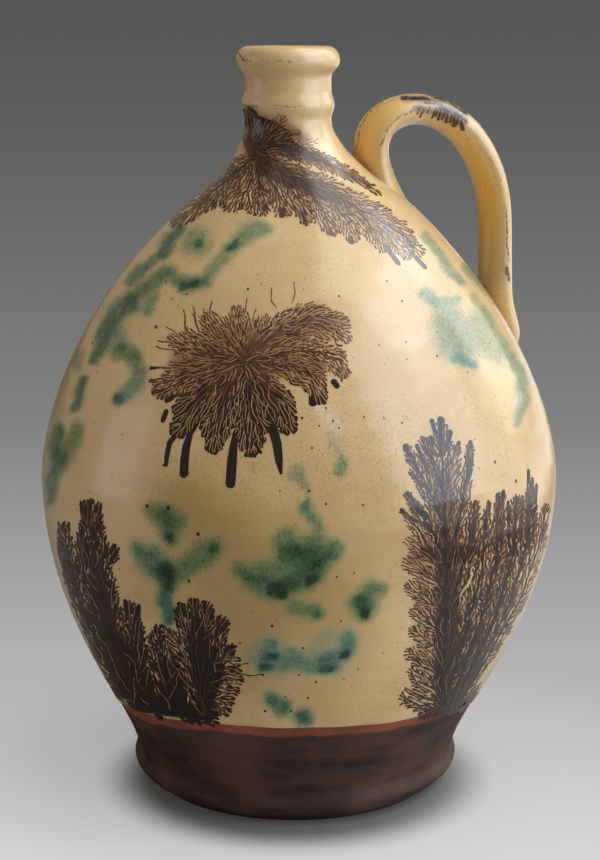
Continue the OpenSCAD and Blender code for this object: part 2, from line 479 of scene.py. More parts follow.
def makeSlipGlaze(look):
    material, tree, shader = newMaterial("slipGlaze")
    place = addNode(tree, "ShaderNodeTexCoord").outputs["Object"]
    cloud = noiseValue(tree, place, look["cloudScale"], 4.0)
    grain = noiseValue(tree, place, look["grainScale"], 3.0, 0.7)
    colour = mixColours(tree, rangeValue(tree, cloud, 0.3, 0.7), look["deep"], look["pale"])
    speckle = rangeValue(tree, grain, 0.56, 0.8, 0.0, look["speckled"])
    colour = mixColours(tree, speckle, colour, look["fleck"])
    # the first layer is painted warm bounce light on the handle's shaded sides, the second painted shade low
    # on the belly
    for layer in ("amber", "bellyShade"):
        colour = mixColours(tree, attributeValue(tree, layer), colour, look[layer])
    # a painted pale reflection, mottled by the grain
    glintShown = product(tree, attributeValue(tree, "paleGlint"), rangeValue(tree, grain, 0.3, 0.6))
    colour = mixColours(tree, glintShown, colour, look["paleGlint"])
    # crazing, shown more in some patches than in others
    cells = addNode(tree, "ShaderNodeTexVoronoi", {"Vector": place, "Scale": look["crazeScale"]},
                    feature="DISTANCE_TO_EDGE").outputs["Distance"]
    patchy = rangeValue(tree, noiseValue(tree, place, look["crazePatches"]), 0.36, 0.64, *look["crazeShown"])
    craze = rangeValue(tree, cells, 0.0, look["crazeWidth"], 1.0, 0.0)
    lines = product(tree, craze, patchy)
    colour = mixColours(tree, lines, colour, look["crazeColour"])
    # green and blue-green splashes, broken up by two noises
    green = attributeValue(tree, "green")
    broken = mathValue(tree, "SUBTRACT", noiseValue(tree, place, look["brokenScale"], 4.0, 0.65), 0.5)
    dusty = mathValue(tree, "SUBTRACT", noiseValue(tree, place, look["dustScale"], 3.0, 0.7), 0.5)
    uneven = blended(tree, broken, look["greenBroken"], dusty, look["greenDusty"])
    soaked = mathValue(tree, "ADD", green, product(tree, uneven, rangeValue(tree, green, 0.0, 0.3)))
    greenColour = colourRamp(tree, soaked, look["greenStops"])
    blueColour = colourRamp(tree, soaked, look["blueStops"])
    splash = mixColours(tree, attributeValue(tree, "blue"), greenColour, blueColour)
    covered = rangeValue(tree, soaked, 0.02, look["greenFull"], smooth=False)
    colour = mixColours(tree, covered, colour, splash)
    greenLines = product(tree, lines, rangeValue(tree, green, 0.1, 0.4))
    colour = mixColours(tree, greenLines, colour, look["crazeGreen"])
    # brown wash and black stain under the dendrites, then rubbed edges and a painted shade in the crease at
    # the handle's top root
    washed = rangeValue(tree, broken, -0.2, 0.2, *look["washShown"])
    colour = mixColours(tree, product(tree, attributeValue(tree, "wash"), washed), colour, look["wash"])
    stained = attributeValue(tree, "stain")
    mottled = blended(tree, broken, look["stainBroken"], dusty, look["stainDusty"])
    stain = rangeValue(tree, mathValue(tree, "ADD", stained, mottled), 0.4, 0.64)
    stain = product(tree, stain, rangeValue(tree, stained, 0.05, 0.2))
    colour = mixColours(tree, stain, colour, look["stain"])
    wearAndShade = attributeValue(tree, "wearAndCreaseShade")
    patched = mathValue(tree, "ADD", wearAndShade, product(tree, dusty, look["wearShadeDusty"]))
    wearAndCreaseShade = rangeValue(tree, patched, 0.35, 0.75, 0.0, look["wearShadeMost"])
    wearAndCreaseShade = product(tree, wearAndCreaseShade, rangeValue(tree, wearAndShade, 0.05, 0.2))
    colour = mixColours(tree, wearAndCreaseShade, colour, look["wearAndCreaseShade"])
    smears = noiseValue(tree, place, look["roughScale"], 3.0)
    rough = rangeValue(tree, smears, 0.3, 0.7, look["roughLow"], look["roughHigh"])
    setFinish(tree, shader, colour, rough)
    lumps = noiseValue(tree, place, look["lumpScale"])
    addBump(tree, shader, blended(tree, lumps, look["lumpHigh"], craze, look["crazeHigh"]), look)
    addCoat(shader)
    return material


clayLook = {
    "wash": (0.076, 0.042, 0.035, 1),
    "washDark": (0.034, 0.023, 0.021, 1),
    "washRed": (0.13, 0.055, 0.041, 1),
    "strip": (0.30, 0.085, 0.048, 1),
    "stripDeep": (0.16, 0.050, 0.033, 1),
    "inside": (0.17, 0.085, 0.055, 1),
    "stripHigh": 0.0056,
    "stripFade": (0.85, 1.1),
    "ragged": 0.006,
    "reddened": 0.75,
    "grained": 0.5,
    "streakScale": 34.0,
    "streakFlat": (1, 1, 5),
    "grainScale": 520.0,
    "cloudScale": 26.0,
    "roughLow": 0.5,
    "roughHigh": 0.75,
    "shine": 0.25,
    "grainHigh": 0.4,
    "bump": 0.35,
    "bumpDeep": 0.0006,
}


def makeBareClay(look):
    material, tree, shader = newMaterial("bareClay")
    place = addNode(tree, "ShaderNodeTexCoord").outputs["Object"]
    flattened = {"Vector": place, "Scale": look["streakFlat"]}
    drawn = addNode(tree, "ShaderNodeMapping", flattened).outputs["Vector"]
    streak = noiseValue(tree, drawn, look["streakScale"], 5.0, 0.6)
    grain = noiseValue(tree, place, look["grainScale"], 3.0, 0.7)
    cloud = noiseValue(tree, place, look["cloudScale"], 4.0)
    colour = mixColours(tree, rangeValue(tree, streak, 0.35, 0.68), look["washDark"], look["wash"])
    redder = rangeValue(tree, cloud, 0.42, 0.72, 0.0, look["reddened"])
    colour = mixColours(tree, redder, colour, look["washRed"])
    darker = rangeValue(tree, grain, 0.58, 0.8, 0.0, look["grained"])
    colour = mixColours(tree, darker, colour, look["washDark"])
    # the red strip that the wash leaves bare, just below the slip
    ragged = product(tree, mathValue(tree, "SUBTRACT", streak, 0.5), look["ragged"])
    depth = mathValue(tree, "ADD", attributeValue(tree, "below"), ragged)
    fadeFrom, fadeTo = [look["stripHigh"] * part for part in look["stripFade"]]
    band = rangeValue(tree, depth, fadeFrom, fadeTo, 1.0, 0.0)
    stripColour = mixColours(tree, rangeValue(tree, cloud, 0.35, 0.65), look["stripDeep"], look["strip"])
    colour = mixColours(tree, band, colour, stripColour)
    colour = mixColours(tree, attributeValue(tree, "inside"), colour, look["inside"])
    rough = rangeValue(tree, streak, 0.3, 0.7, look["roughLow"], look["roughHigh"])
    setFinish(tree, shader, colour, rough)
    shader.inputs["Specular IOR Level"].default_value = look["shine"]
    addBump(tree, shader, mathValue(tree, "ADD", streak, product(tree, grain, look["grainHigh"])), look)
    return material


# brown to black by the ink's strength; the palest is slip that shows through
inkLook = {
    "stops": [
        (0.0, (0.49, 0.27, 0.12)),
        (0.1, (0.19, 0.075, 0.031)),
        (0.35, (0.085, 0.032, 0.015)),
        (0.7, (0.026, 0.012, 0.008)),
        (1.0, (0.009, 0.007, 0.007)),
    ],
    "rough": 0.22,
    "unevenScale": 300.0,
    "uneven": 0.35,
}


def makeInk(look):
    material, tree, shader = newMaterial("dendriteInk")
    place = addNode(tree, "ShaderNodeTexCoord").outputs["Object"]
    cloud = mathValue(tree, "SUBTRACT", noiseValue(tree, place, look["unevenScale"]), 0.5)
    strength = mathValue(tree, "ADD", attributeValue(tree, "ink"), product(tree, cloud, look["uneven"]))
    setFinish(tree, shader, colourRamp(tree, strength, look["stops"]), look["rough"])
    addCoat(shader)
    return material


slipGlaze = makeSlipGlaze(slipLook)
bareClay = makeBareClay(clayLook)
dendriteInk = makeInk(inkLook)
print("materials made")


def addPiece(bm, name, material, replaced=()):
    mesh = bpy.data.meshes.new(name)
    bm.to_mesh(mesh)
    bm.free()
    mesh.shade_smooth()
    mesh.materials.append(material)
    piece = bpy.data.objects.new(name, mesh)
    bpy.context.scene.collection.objects.link(piece)
    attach(piece, "root")
    if replaced:
        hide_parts(*replaced)
    return piece


def readPoints(mesh):
    flat = np.empty(len(mesh.vertices) * 3)
    mesh.vertices.foreach_get("co", flat)
    return flat.reshape(-1, 3)


def writePoints(mesh, points):
    mesh.vertices.foreach_set("co", np.ascontiguousarray(points, dtype=np.float32).ravel())
    mesh.update()


def writeAttribute(mesh, name, values):
    layer = mesh.attributes.new(name, "FLOAT", "POINT")
    layer.data.foreach_set("value", np.ascontiguousarray(values, dtype=np.float32))


def latheForm(line, steps, closed):
    bm = bmesh.new()
    ring = [bm.verts.new((r, 0, z)) for r, z in line]
    edges = [bm.edges.new(pair) for pair in zip(ring, ring[1:])]
    if closed:
        edges.append(bm.edges.new((ring[-1], ring[0])))
    bmesh.ops.spin(bm, geom=ring + edges, cent=(0, 0, 0), axis=(0, 0, 1), angle=2 * math.pi,
                   steps=steps, use_merge=True)
    bmesh.ops.remove_doubles(bm, verts=bm.verts[:], dist=1e-6)
    bmesh.ops.recalc_face_normals(bm, faces=bm.faces[:])
    return bm


# the slip's lower edge dips at the sides
slipEdge = {
    "sideZ": 0.0448,
    "frontRise": 0.0111,
    "rightRise": 0.0045,
    "backRise": 0.004,
    "ripples": [(5, 0.0004, 1.0), (11, 0.00028, 2.2), (23, 0.00015, 0.3)],
    "startZ": 0.048,
    "cutZ": 0.064,
}


def slipEdgeZ(theta):
    facing = np.cos(theta - frontAngle)
    rise = np.where(facing > 0, slipEdge["frontRise"], slipEdge["backRise"])
    z = slipEdge["sideZ"] + rise * facing**2
    z = z + slipEdge["rightRise"] * np.clip(np.sin(theta - frontAngle), 0, 1) ** 2
    for turns, size, begin in slipEdge["ripples"]:
        z = z + size * np.sin(turns * theta + begin)
    return z


body = {
    "steps": 320,
    "edgeRound": 6,
    "edgeBulge": 0.0004,
    "skinCount": 7,
    "lowerCount": 70,
    "upperCount": 92,
    "insideCount": 8,
    "throatCount": 12,
    "throatLead": 4,
    "throatPull": 0.012,
    "mouthCount": 6,
    "boreCount": 8,
}


def spaced(line, count):
    run = runLengths(line)
    return pointsAlong(line, run, np.linspace(0, run[-1], count))


def between(line, low, high):
    return line[(line[:, 1] > low) & (line[:, 1] <= high)]


def insideLines():
    w = wallLine
    lower = offsetLine(curves["lower"], -w["wall"])
    upper = offsetLine(curves["upper"], -w["wall"])
    lead = upper[-1] + (upper[-1] - upper[-2]) * body["throatLead"]
    boreEnd = np.array([w["boreR"], w["shoulderZ"] + w["throatHigh"]])
    throat = bezier(upper[-1], lead, boreEnd - [0, body["throatPull"]], boreEnd, body["throatCount"])
    return lower, upper, throat


def slipBodyLine():
    w = wallLine
    startZ, cutZ = slipEdge["startZ"], slipEdge["cutZ"]
    skinUnder = [(clayRadius(z), z) for z in np.linspace(cutZ, startZ, body["skinCount"])]
    bulge = np.linspace(-math.pi / 2, math.pi / 2, body["edgeRound"])[1:-1]
    edge = [(clayRadius(startZ) + w["slip"] * (1 + math.sin(a)) / 2, startZ - body["edgeBulge"] * math.cos(a))
            for a in bulge]
    belly, shoulder = w["bellyZ"], w["shoulderZ"]
    lowerOuter = joined([[coatRadius(startZ), startZ]], between(coatLine, startZ + 1e-4, belly))
    lowerOuter = spaced(lowerOuter, body["lowerCount"])
    upperOuter = spaced(between(coatLine, belly, shoulder), body["upperCount"])
    top = between(coatLine, shoulder, 1)
    mouthTop = w["topZ"] + w["slip"]
    quarter = np.linspace(0, math.pi / 2, body["mouthCount"])
    bend = w["mouthRound"]
    mouth = [(w["boreR"] + bend * (1 - math.sin(a)), mouthTop - bend * (1 - math.cos(a))) for a in quarter]
    lower, upper, throat = insideLines()
    bore = [(w["boreR"], z) for z in np.linspace(mouthTop - bend, throat[-1, 1], body["boreCount"])]
    hollow = np.concatenate([throat[::-1], spaced(upper, body["insideCount"])[::-1],
                             spaced(between(lower, cutZ, 1), body["insideCount"])[::-1]])
    return joined(skinUnder, edge, lowerOuter, upperOuter, top, mouth, bore, hollow)


def shapeLathe(mesh, withSlipEdge):
    points = readPoints(mesh)
    theta = np.arctan2(points[:, 1], points[:, 0])
    radius = np.hypot(points[:, 0], points[:, 1])
    z = points[:, 2].copy()
    if withSlipEdge:
        cutZ, startZ = slipEdge["cutZ"], slipEdge["startZ"]
        part = (z - startZ) / (cutZ - startZ)
        edgeZ = slipEdgeZ(theta)
        moved = np.where(z < cutZ, edgeZ + part * (cutZ - edgeZ), z)
        radius = radius + np.where(z < cutZ, clayRadius(moved) - clayRadius(z), 0)
        z = moved
    shaped = wallPoints(theta, z, radius)
    onAxis = radius < 1e-5
    shaped[onAxis] = points[onAxis]
    writePoints(mesh, shaped)
    return theta, z, radius


slipBody = addPiece(latheForm(slipBodyLine(), body["steps"], True), "slipBody", slipGlaze,
                    ("slip_coat", "upper_wall", "neck", "lip_roll"))
bodyTheta, bodyZ, bodyRadius = shapeLathe(slipBody.data, True)
print("slip body:", len(slipBody.data.polygons), "faces")


foot = {
    "steps": 256,
    "underCount": 10,
    "lowerCount": 34,
    "innerCount": 12,
    "cornerCount": 6,
    "floorCount": 8,
    "undersideZ": 0.001,
}


def bareFootLine():
    w = wallLine
    cutZ = slipEdge["cutZ"]
    under = [(r, 0.0) for r in np.linspace(0, w["restR"], foot["underCount"])]
    outer = joined(curves["toe"], curves["groove"])
    wall = [(clayRadius(z), z) for z in np.linspace(w["grooveZ"], cutZ, foot["lowerCount"])]
    lower = insideLines()[0]
    bend = w["floorCorner"]
    innerZ = np.linspace(cutZ, w["floorZ"] + bend, foot["innerCount"])
    inner = [(np.interp(z, lower[:, 1], lower[:, 0]), z) for z in innerZ]
    innerR = inner[-1][0]
    quarter = np.linspace(0, math.pi / 2, foot["cornerCount"])
    corner = [(innerR - bend * (1 - math.cos(a)), w["floorZ"] + bend * (1 - math.sin(a))) for a in quarter]
    floor = [(r, w["floorZ"]) for r in np.linspace(innerR - bend, 0, foot["floorCount"])]
    return joined(under, outer, wall, inner, corner, floor)


bareFoot = addPiece(latheForm(bareFootLine(), foot["steps"], False), "bareFoot", bareClay,
                    ("base_disc", "foot_ring", "lower_wall"))
footTheta, footZ, footRadius = shapeLathe(bareFoot.data, False)
writeAttribute(bareFoot.data, "below", slipEdgeZ(footTheta) - footZ)
behindWall = footRadius < clayRadius(footZ) - wallLine["wall"] / 2
writeAttribute(bareFoot.data, "inside", behindWall & (footZ > foot["undersideZ"]))
print("bare foot:", len(bareFoot.data.polygons), "faces")


# the strap's middle as seen, in metres out from the axis and up, from the shoulder over the arch
handle = {
    "middle": [
        (0.0440, 0.2750), (0.0395, 0.2890), (0.0376, 0.2986), (0.0383, 0.3070), (0.0403, 0.3117),
        (0.0454, 0.3168), (0.0518, 0.3197), (0.0591, 0.3210), (0.0674, 0.3202), (0.0764, 0.3167),
        (0.0861, 0.3096), (0.0936, 0.2999), (0.0990, 0.2890), (0.1021, 0.2773), (0.1031, 0.2687),
        (0.1037, 0.2478), (0.1043, 0.2304), (0.1055, 0.2244), (0.1073, 0.2183), (0.1087, 0.2130),
        (0.1085, 0.2085), (0.1040, 0.2045), (0.0960, 0.2020),
    ],
    "evenOut": 0.003,
    "widthAt": [(0.0, 1.04), (0.3, 1.06), (0.6, 1.0), (0.85, 1.0), (1.0, 1.1)],
    "width": strapHigh.y * 2,
    "thickAt": [(0.0, 0.0140), (0.12, 0.0132), (0.3, 0.0150), (0.5, 0.0138), (0.65, 0.0124), (0.88, 0.0126),
                (0.95, 0.0140), (1.0, 0.0130)],
    "lineCount": 600,
    "headingReach": 0.0015,
    "rings": 220,
    "sides": 88,
    "hollow": 0.0006,
    "hollowWide": 0.005,
    "buried": 0.004,
    "flareLong": 0.034,
    "flareSize": 0.013,
}


def handleLine():
    knots = np.array(handle["middle"])
    run = runLengths(knots)
    at = np.linspace(0, run[-1], handle["lineCount"])
    dense = pointsAlong(knots, run, at)
    step = at[1] - at[0]
    reach = int(3 * handle["evenOut"] / step)
    bell = np.exp(-0.5 * (np.arange(-reach, reach + 1) * step / handle["evenOut"]) ** 2)
    bell /= bell.sum()
    padded = np.pad(dense, ((reach, reach), (0, 0)), mode="reflect", reflect_type="odd")
    return np.stack([np.convolve(padded[:, k], bell, mode="valid") for k in range(2)], axis=1)


strapLine = handleLine()
strapRun = runLengths(strapLine)
strapLong = strapRun[-1]


def strapPoint(along):
    return pointsAlong(strapLine, strapRun, along)


def strapOutward(along):
    reach = handle["headingReach"]
    heading = strapPoint(np.minimum(along + reach, strapLong)) - strapPoint(np.maximum(along - reach, 0))
    heading /= np.linalg.norm(heading, axis=-1, keepdims=True)
    return np.stack([-heading[..., 1], heading[..., 0]], axis=-1)


def handlePoints(along, turn):
    h = handle
    part = along / strapLong
    wide = h["width"] / 2 * np.interp(part, *zip(*h["widthAt"]))
    thick = np.interp(part, *zip(*h["thickAt"])) / 2
    c, s = np.cos(turn), np.sin(turn)
    side = wide * s
    out = thick * c - np.where(c > 0, h["hollow"] * np.exp(-((side / h["hollowWide"]) ** 2)) * c, 0)
    flat = strapPoint(along) + strapOutward(along) * out[..., None]
    flare = np.clip(1 - along / h["flareLong"], 0, 1) ** 2 * np.maximum(-c, 0) * h["flareSize"]
    downhill = np.array([math.sin(wallLine["shoulderLean"]), -math.cos(wallLine["shoulderLean"])])
    flat = flat + flare[..., None] * downhill
    points = np.stack([flat[..., 0], side, flat[..., 1]], axis=-1)
    theta, z = wallAngles(points)
    least = glazePoints(theta, z, -h["buried"])
    sunk = np.hypot(points[..., 0], points[..., 1]) < np.hypot(least[..., 0], least[..., 1])
    return np.where(sunk[..., None], least, points)


def makeHandle():
    h = handle
    bm = bmesh.new()
    bmesh.ops.create_grid(bm, x_segments=h["rings"], y_segments=h["sides"], size=0.5)
    alongLayer = bm.verts.layers.float.new("along")
    turnLayer = bm.verts.layers.float.new("turn")
    at = np.array([v.co for v in bm.verts])
    along, turn = (at[:, 0] + 0.5) * strapLong, (at[:, 1] + 0.5) * 2 * math.pi
    for vert, point, a, t in zip(bm.verts, handlePoints(along, turn), along, turn):
        vert.co = point
        vert[alongLayer] = a
        vert[turnLayer] = t
    bmesh.ops.remove_doubles(bm, verts=bm.verts[:], dist=1e-6)
    bmesh.ops.holes_fill(bm, edges=bm.edges[:], sides=0)
    bmesh.ops.recalc_face_normals(bm, faces=bm.faces[:])
    return addPiece(bm, "handleStrap", slipGlaze,
                    ("handle_strap", "handle_top_root", "handle_bottom_root"))


def readAttribute(mesh, name):
    values = np.empty(len(mesh.vertices))
    mesh.attributes[name].data.foreach_get("value", values)
    return values


handleStrap = makeHandle()
strapAlong = readAttribute(handleStrap.data, "along")
strapTurn = readAttribute(handleStrap.data, "turn")
strapPart = strapAlong / strapLong

# amber painted where the strap faces the neck, away from the window lamps: painted warm bounce light on its
# shaded sides, along a share of its length
shadeSideAmber = {"strength": 0.85, "facing": 1.3, "start": 0.4, "rises": 0.08, "fades": 0.58, "blend": 0.2}


def handleAmber(look):
    faceIn = -strapOutward(strapAlong)[:, 0] * np.cos(strapTurn)
    fading = 1 - np.clip((strapPart - look["fades"]) / look["blend"], 0, 1)
    rising = look["start"] + (1 - look["start"]) * np.clip((strapPart - look["rises"]) / look["blend"], 0, 1)
    return look["strength"] * np.clip(faceIn * look["facing"], 0, 1) * fading * rising


writeAttribute(handleStrap.data, "amber", handleAmber(shadeSideAmber))
print("handle:", len(handleStrap.data.polygons), "faces")


# green splashes: pixel points, half-widths in pixels, strength, and how far towards blue if not 0
greenSplashes = [
    ([(266, 229), (250, 231), (240, 240)], [6, 11, 8], 0.54, 0.2),
    ([(238, 243), (229, 250)], [4, 4], 0.72, 0.4),
    ([(230, 249), (217, 263), (211, 271), (205, 281)], [7, 7, 6, 6], 0.48, 0.2),
    ([(197, 243)], [14], 0.45, 0.3),
    ([(200, 244)], [6], 0.7, 0.5),
    ([(180, 228), (169, 241), (162, 254)], [5, 7, 6], 0.66, 0.3),
    ([(162, 254), (151, 261), (140, 272), (129, 283)], [5, 5.5, 5.5, 5], 0.62, 0.2),
    ([(203, 283), (188, 285), (177, 279), (169, 273), (156, 280), (143, 289), (132, 301)],
     [6, 8, 8, 8, 8, 8, 9], 0.58, 0.2),
    ([(181, 286), (196, 284)], [4.5, 4], 0.74, 0.5),
    ([(130, 303), (119, 310), (110, 321), (105, 332), (101, 345), (94.5, 361)],
     [10, 10, 9, 8, 7, 5], 0.68, 0.4),
    ([(113, 328), (118, 344)], [12, 11], 0.5, 0.7),
    ([(119, 350), (134, 356), (138, 369), (138, 381), (129, 392), (119, 399)], [9, 8, 8, 8, 8, 7], 0.6, 0.1),
    ([(119, 399)], [6], 0.8),
    ([(153, 298), (147, 309)], [7, 6], 0.5, 0.4),
    ([(81, 352), (77, 368)], [4, 4], 0.42),
    ([(83.5, 378), (79, 396), (73, 409)], [4, 5, 4], 0.7, 0.3),
    ([(58.5, 429), (55.5, 446), (58.5, 463), (52, 478), (50, 500)], [6, 7, 8, 7, 5], 0.6, 0.4),
    ([(77, 426), (72, 444), (60, 459)], [6, 8, 8], 0.55),
    ([(331, 437), (335, 448), (342, 459)], [6, 6, 5], 0.2, 0.6),
    ([(342, 460), (340, 471)], [5, 6], 0.5, 0.3),
    ([(296, 474), (302, 480), (307, 490)], [8, 6, 4], 0.45, 0.3),
    ([(307, 500), (307, 510), (313, 519), (318, 528)], [4, 7, 6, 5], 0.6, 0.3),
    ([(287, 540), (288, 552)], [12, 13], 0.6),
    ([(286, 553), (300, 558), (316, 557)], [12, 14, 12], 0.64),
    ([(300, 547), (315, 546), (328, 552)], [11, 14, 9], 0.62),
    ([(337, 546), (331, 556)], [7, 8], 0.6, 0.3),
    ([(240, 569), (250, 579), (265, 587), (278, 590)], [8, 10, 11, 11], 0.62),
    ([(278, 589), (300, 582), (314, 574), (322, 565)], [11, 11, 11, 9], 0.7),
    ([(252, 574), (278, 575), (300, 569), (316, 558)], [10, 15, 18, 15], 0.6, 0.1),
    ([(270, 590), (284, 594)], [7, 6], 0.85),
    ([(306, 581), (315, 577)], [5, 5], 0.8),
    ([(293, 607), (304, 609)], [9, 8], 0.55),
    ([(313, 610), (316, 613)], [8, 7], 0.7),
    ([(381, 590), (372, 590), (367, 600)], [7, 10, 12], 0.6),
    ([(361, 606), (362, 613)], [12, 9], 0.72),
    ([(364, 613)], [6], 0.84),
    ([(262, 667), (269, 655), (270, 646)], [7, 9, 8], 0.55, 0.8),
    ([(269, 660), (290, 660), (309, 665), (330, 663)], [10, 11, 9, 10], 0.55, 0.9),
    ([(330, 662), (345, 651), (349, 637)], [11, 10, 8], 0.55, 0.9),
    ([(255, 655), (262, 648)], [10, 9], 0.3, 0.8),
    ([(318, 650), (334, 640)], [12, 10], 0.28, 0.8),
    ([(273, 655), (277, 657)], [3, 3], 0.85, 0.6),
    ([(262, 669), (268, 668)], [4, 4], 0.75, 0.6),
    ([(322, 670), (330, 671)], [4, 4], 0.75, 0.6),
    ([(343, 654), (347, 653)], [4, 3], 0.85, 0.6),
    ([(272, 700), (282, 707)], [8, 9], 0.65, 0.5),
    ([(304, 717)], [9], 0.75, 0.4),
    ([(154, 511), (165, 517), (178, 521)], [9, 12, 8], 0.54),
    ([(167, 518), (171, 537)], [12, 9], 0.64),
    ([(171, 538)], [6], 0.8),
    ([(141, 551), (150, 558), (162, 572)], [10, 13, 12], 0.6, 0.5),
    ([(215, 546), (207, 552), (198, 559), (184, 568), (172, 575)], [9, 11, 11, 11, 10], 0.62),
    ([(214, 547)], [6], 0.75),
    ([(166, 572), (167, 585)], [12, 9], 0.76),
    ([(165, 590), (165, 600), (168, 612), (169, 619)], [7, 8, 8, 7], 0.7, 0.5),
    ([(424, 236), (437, 250), (448, 268), (461, 283)], [4, 5, 5, 4], 0.46, 0.4),
    ([(425, 294), (437, 304)], [6, 6], 0.5, 0.8),
    ([(446, 300), (459, 301)], [5, 4], 0.42, 0.8),
    ([(448, 322), (454, 338), (462, 352)], [15, 19, 13], 0.45, 0.6),
    ([(457, 359), (474, 364)], [6, 5], 0.52, 0.8),
    ([(466, 268), (480, 281), (492, 294), (504, 309)], [4, 5, 4, 3], 0.52, 0.1),
    ([(474, 296), (486, 314), (500, 336), (511, 356)], [3.5, 3.5, 4, 4.5], 0.38, 0.3),
    ([(476, 322), (486, 340), (498, 352)], [12, 14, 11], 0.43, 0.35),
    ([(511, 356), (521, 375), (524, 398), (518, 424)], [5, 6, 6, 4], 0.46, 0.6),
]
splashSoft = {"warp": 1.8, "wide": 1.16, "strong": 1.16, "fade": 0.78, "steep": 3.6, "merge": 4}


def stripeReach(pixels, spine, halves):
    spine, halves = np.array(spine, float), np.array(halves, float)
    if len(spine) == 1:
        return np.linalg.norm(pixels - spine[0], axis=1) / halves[0]
    reach = np.full(len(pixels), np.inf)
    for a, b, ha, hb in zip(spine, spine[1:], halves, halves[1:]):
        t = np.clip((pixels - a) @ (b - a) / ((b - a) @ (b - a)), 0, 1)
        gap = np.linalg.norm(pixels - a - t[:, None] * (b - a), axis=1)
        reach = np.minimum(reach, gap / (ha + (hb - ha) * t))
    return reach


def softStep(value, low, high):
    t = np.clip((value - low) / (high - low), 0, 1)
    return t * t * (3 - 2 * t)


# waves that make the strokes' edges uneven: size, turn per pixel across and down, start
warpAcross = [(0.6, 0.0, 0.21, 1.3), (0.36, 0.37, 0.29, 0.4)]
warpDown = [(0.6, 0.19, 0.0, 2.1), (0.36, -0.31, 0.33, 1.7)]


def warped(pixels, size):
    x, y = pixels[:, 0], pixels[:, 1]
    moved = [sum(high * np.sin(right * x + down * y + begin) for high, right, down, begin in waves)
             for waves in (warpAcross, warpDown)]
    return pixels + size * np.stack(moved, axis=1)


paintMiddle = 297  # pixels, about which the far side's painting is the other way round


def turnedPixels(theta, z, turn):
    points = glazePoints(theta - turn, z)
    facing = ((eye - points) * glazeNormals(theta - turn, z)).sum(axis=1) > 0
    return toPixels(points), facing


def paintGreen():
    onOutside = bodyRadius > clayRadius(bodyZ) + wallLine["slip"] * 0.5
    green, blue = np.zeros(len(bodyZ)), np.zeros(len(bodyZ))
    merge = splashSoft["merge"]
    for turn in (0.0, math.pi):
        pixels, facing = turnedPixels(bodyTheta, bodyZ, turn)
        if turn:
            pixels[:, 0] = paintMiddle * 2 - pixels[:, 0]
        pixels = warped(pixels, splashSoft["warp"])
        for spine, halves, strength, *bluer in greenSplashes:
            reach = stripeReach(pixels, spine, halves)
            soak = np.exp(-splashSoft["fade"] * (reach / splashSoft["wide"]) ** splashSoft["steep"])
            soak = np.where(facing & onOutside, splashSoft["strong"] * strength * soak, 0) ** merge
            green = green + soak
            blue = blue + soak * (bluer[0] if bluer else 0.0)
    return np.minimum(green ** (1 / merge), 1), blue / np.maximum(green, 1e-9)


# how far from a stroke's middle its soak starts to fade and is gone, in half-widths
fades = {"pool": (0.1, 1.5), "stain": (0.3, 1.5), "wash": (0.1, 1.2), "wearAndCreaseShade": (0.3, 1.6), "tuft": (0.2, 1.4)}


def soakAt(pixels, facing, strokes, fade):
    soaked = np.zeros(len(pixels))
    for spine, halves, *strength in strokes:
        soak = 1 - softStep(stripeReach(pixels, spine, halves), *fade)
        if strength:
            soak = strength[0] * soak
        soaked = np.where(facing, np.maximum(soaked, soak), soaked)
    return soaked


def soakBody(strokes, fade, turn=0.0):
    return soakAt(*turnedPixels(bodyTheta, bodyZ, turn), strokes, fade)


# painted shade, darker and yellower, low on the belly, and a painted pale reflection: pixel points,
# half-widths and strength
bellyShadeStrokes = [([(185, 505), (222, 548), (250, 600), (255, 645)], [42, 66, 100, 62], 0.85),
               ([(305, 585), (320, 620)], [60, 60], 0.55)]
paleGlintStrokes = [([(319, 405), (329, 416), (338, 432)], [6, 9, 6], 0.55)]
for layer, strokes in (("bellyShade", bellyShadeStrokes), ("paleGlint", paleGlintStrokes)):
    bothSides = [soakBody(strokes, fades["pool"], turn) for turn in (0.0, math.pi)]
    writeAttribute(slipBody.data, layer, np.max(bothSides, axis=0))

green, blue = paintGreen()
writeAttribute(slipBody.data, "green", green)
writeAttribute(slipBody.data, "blue", blue)
print("green splashes laid")


def alike(halves, fine, *spines):
    return [(spine, halves, fine) for spine in spines]


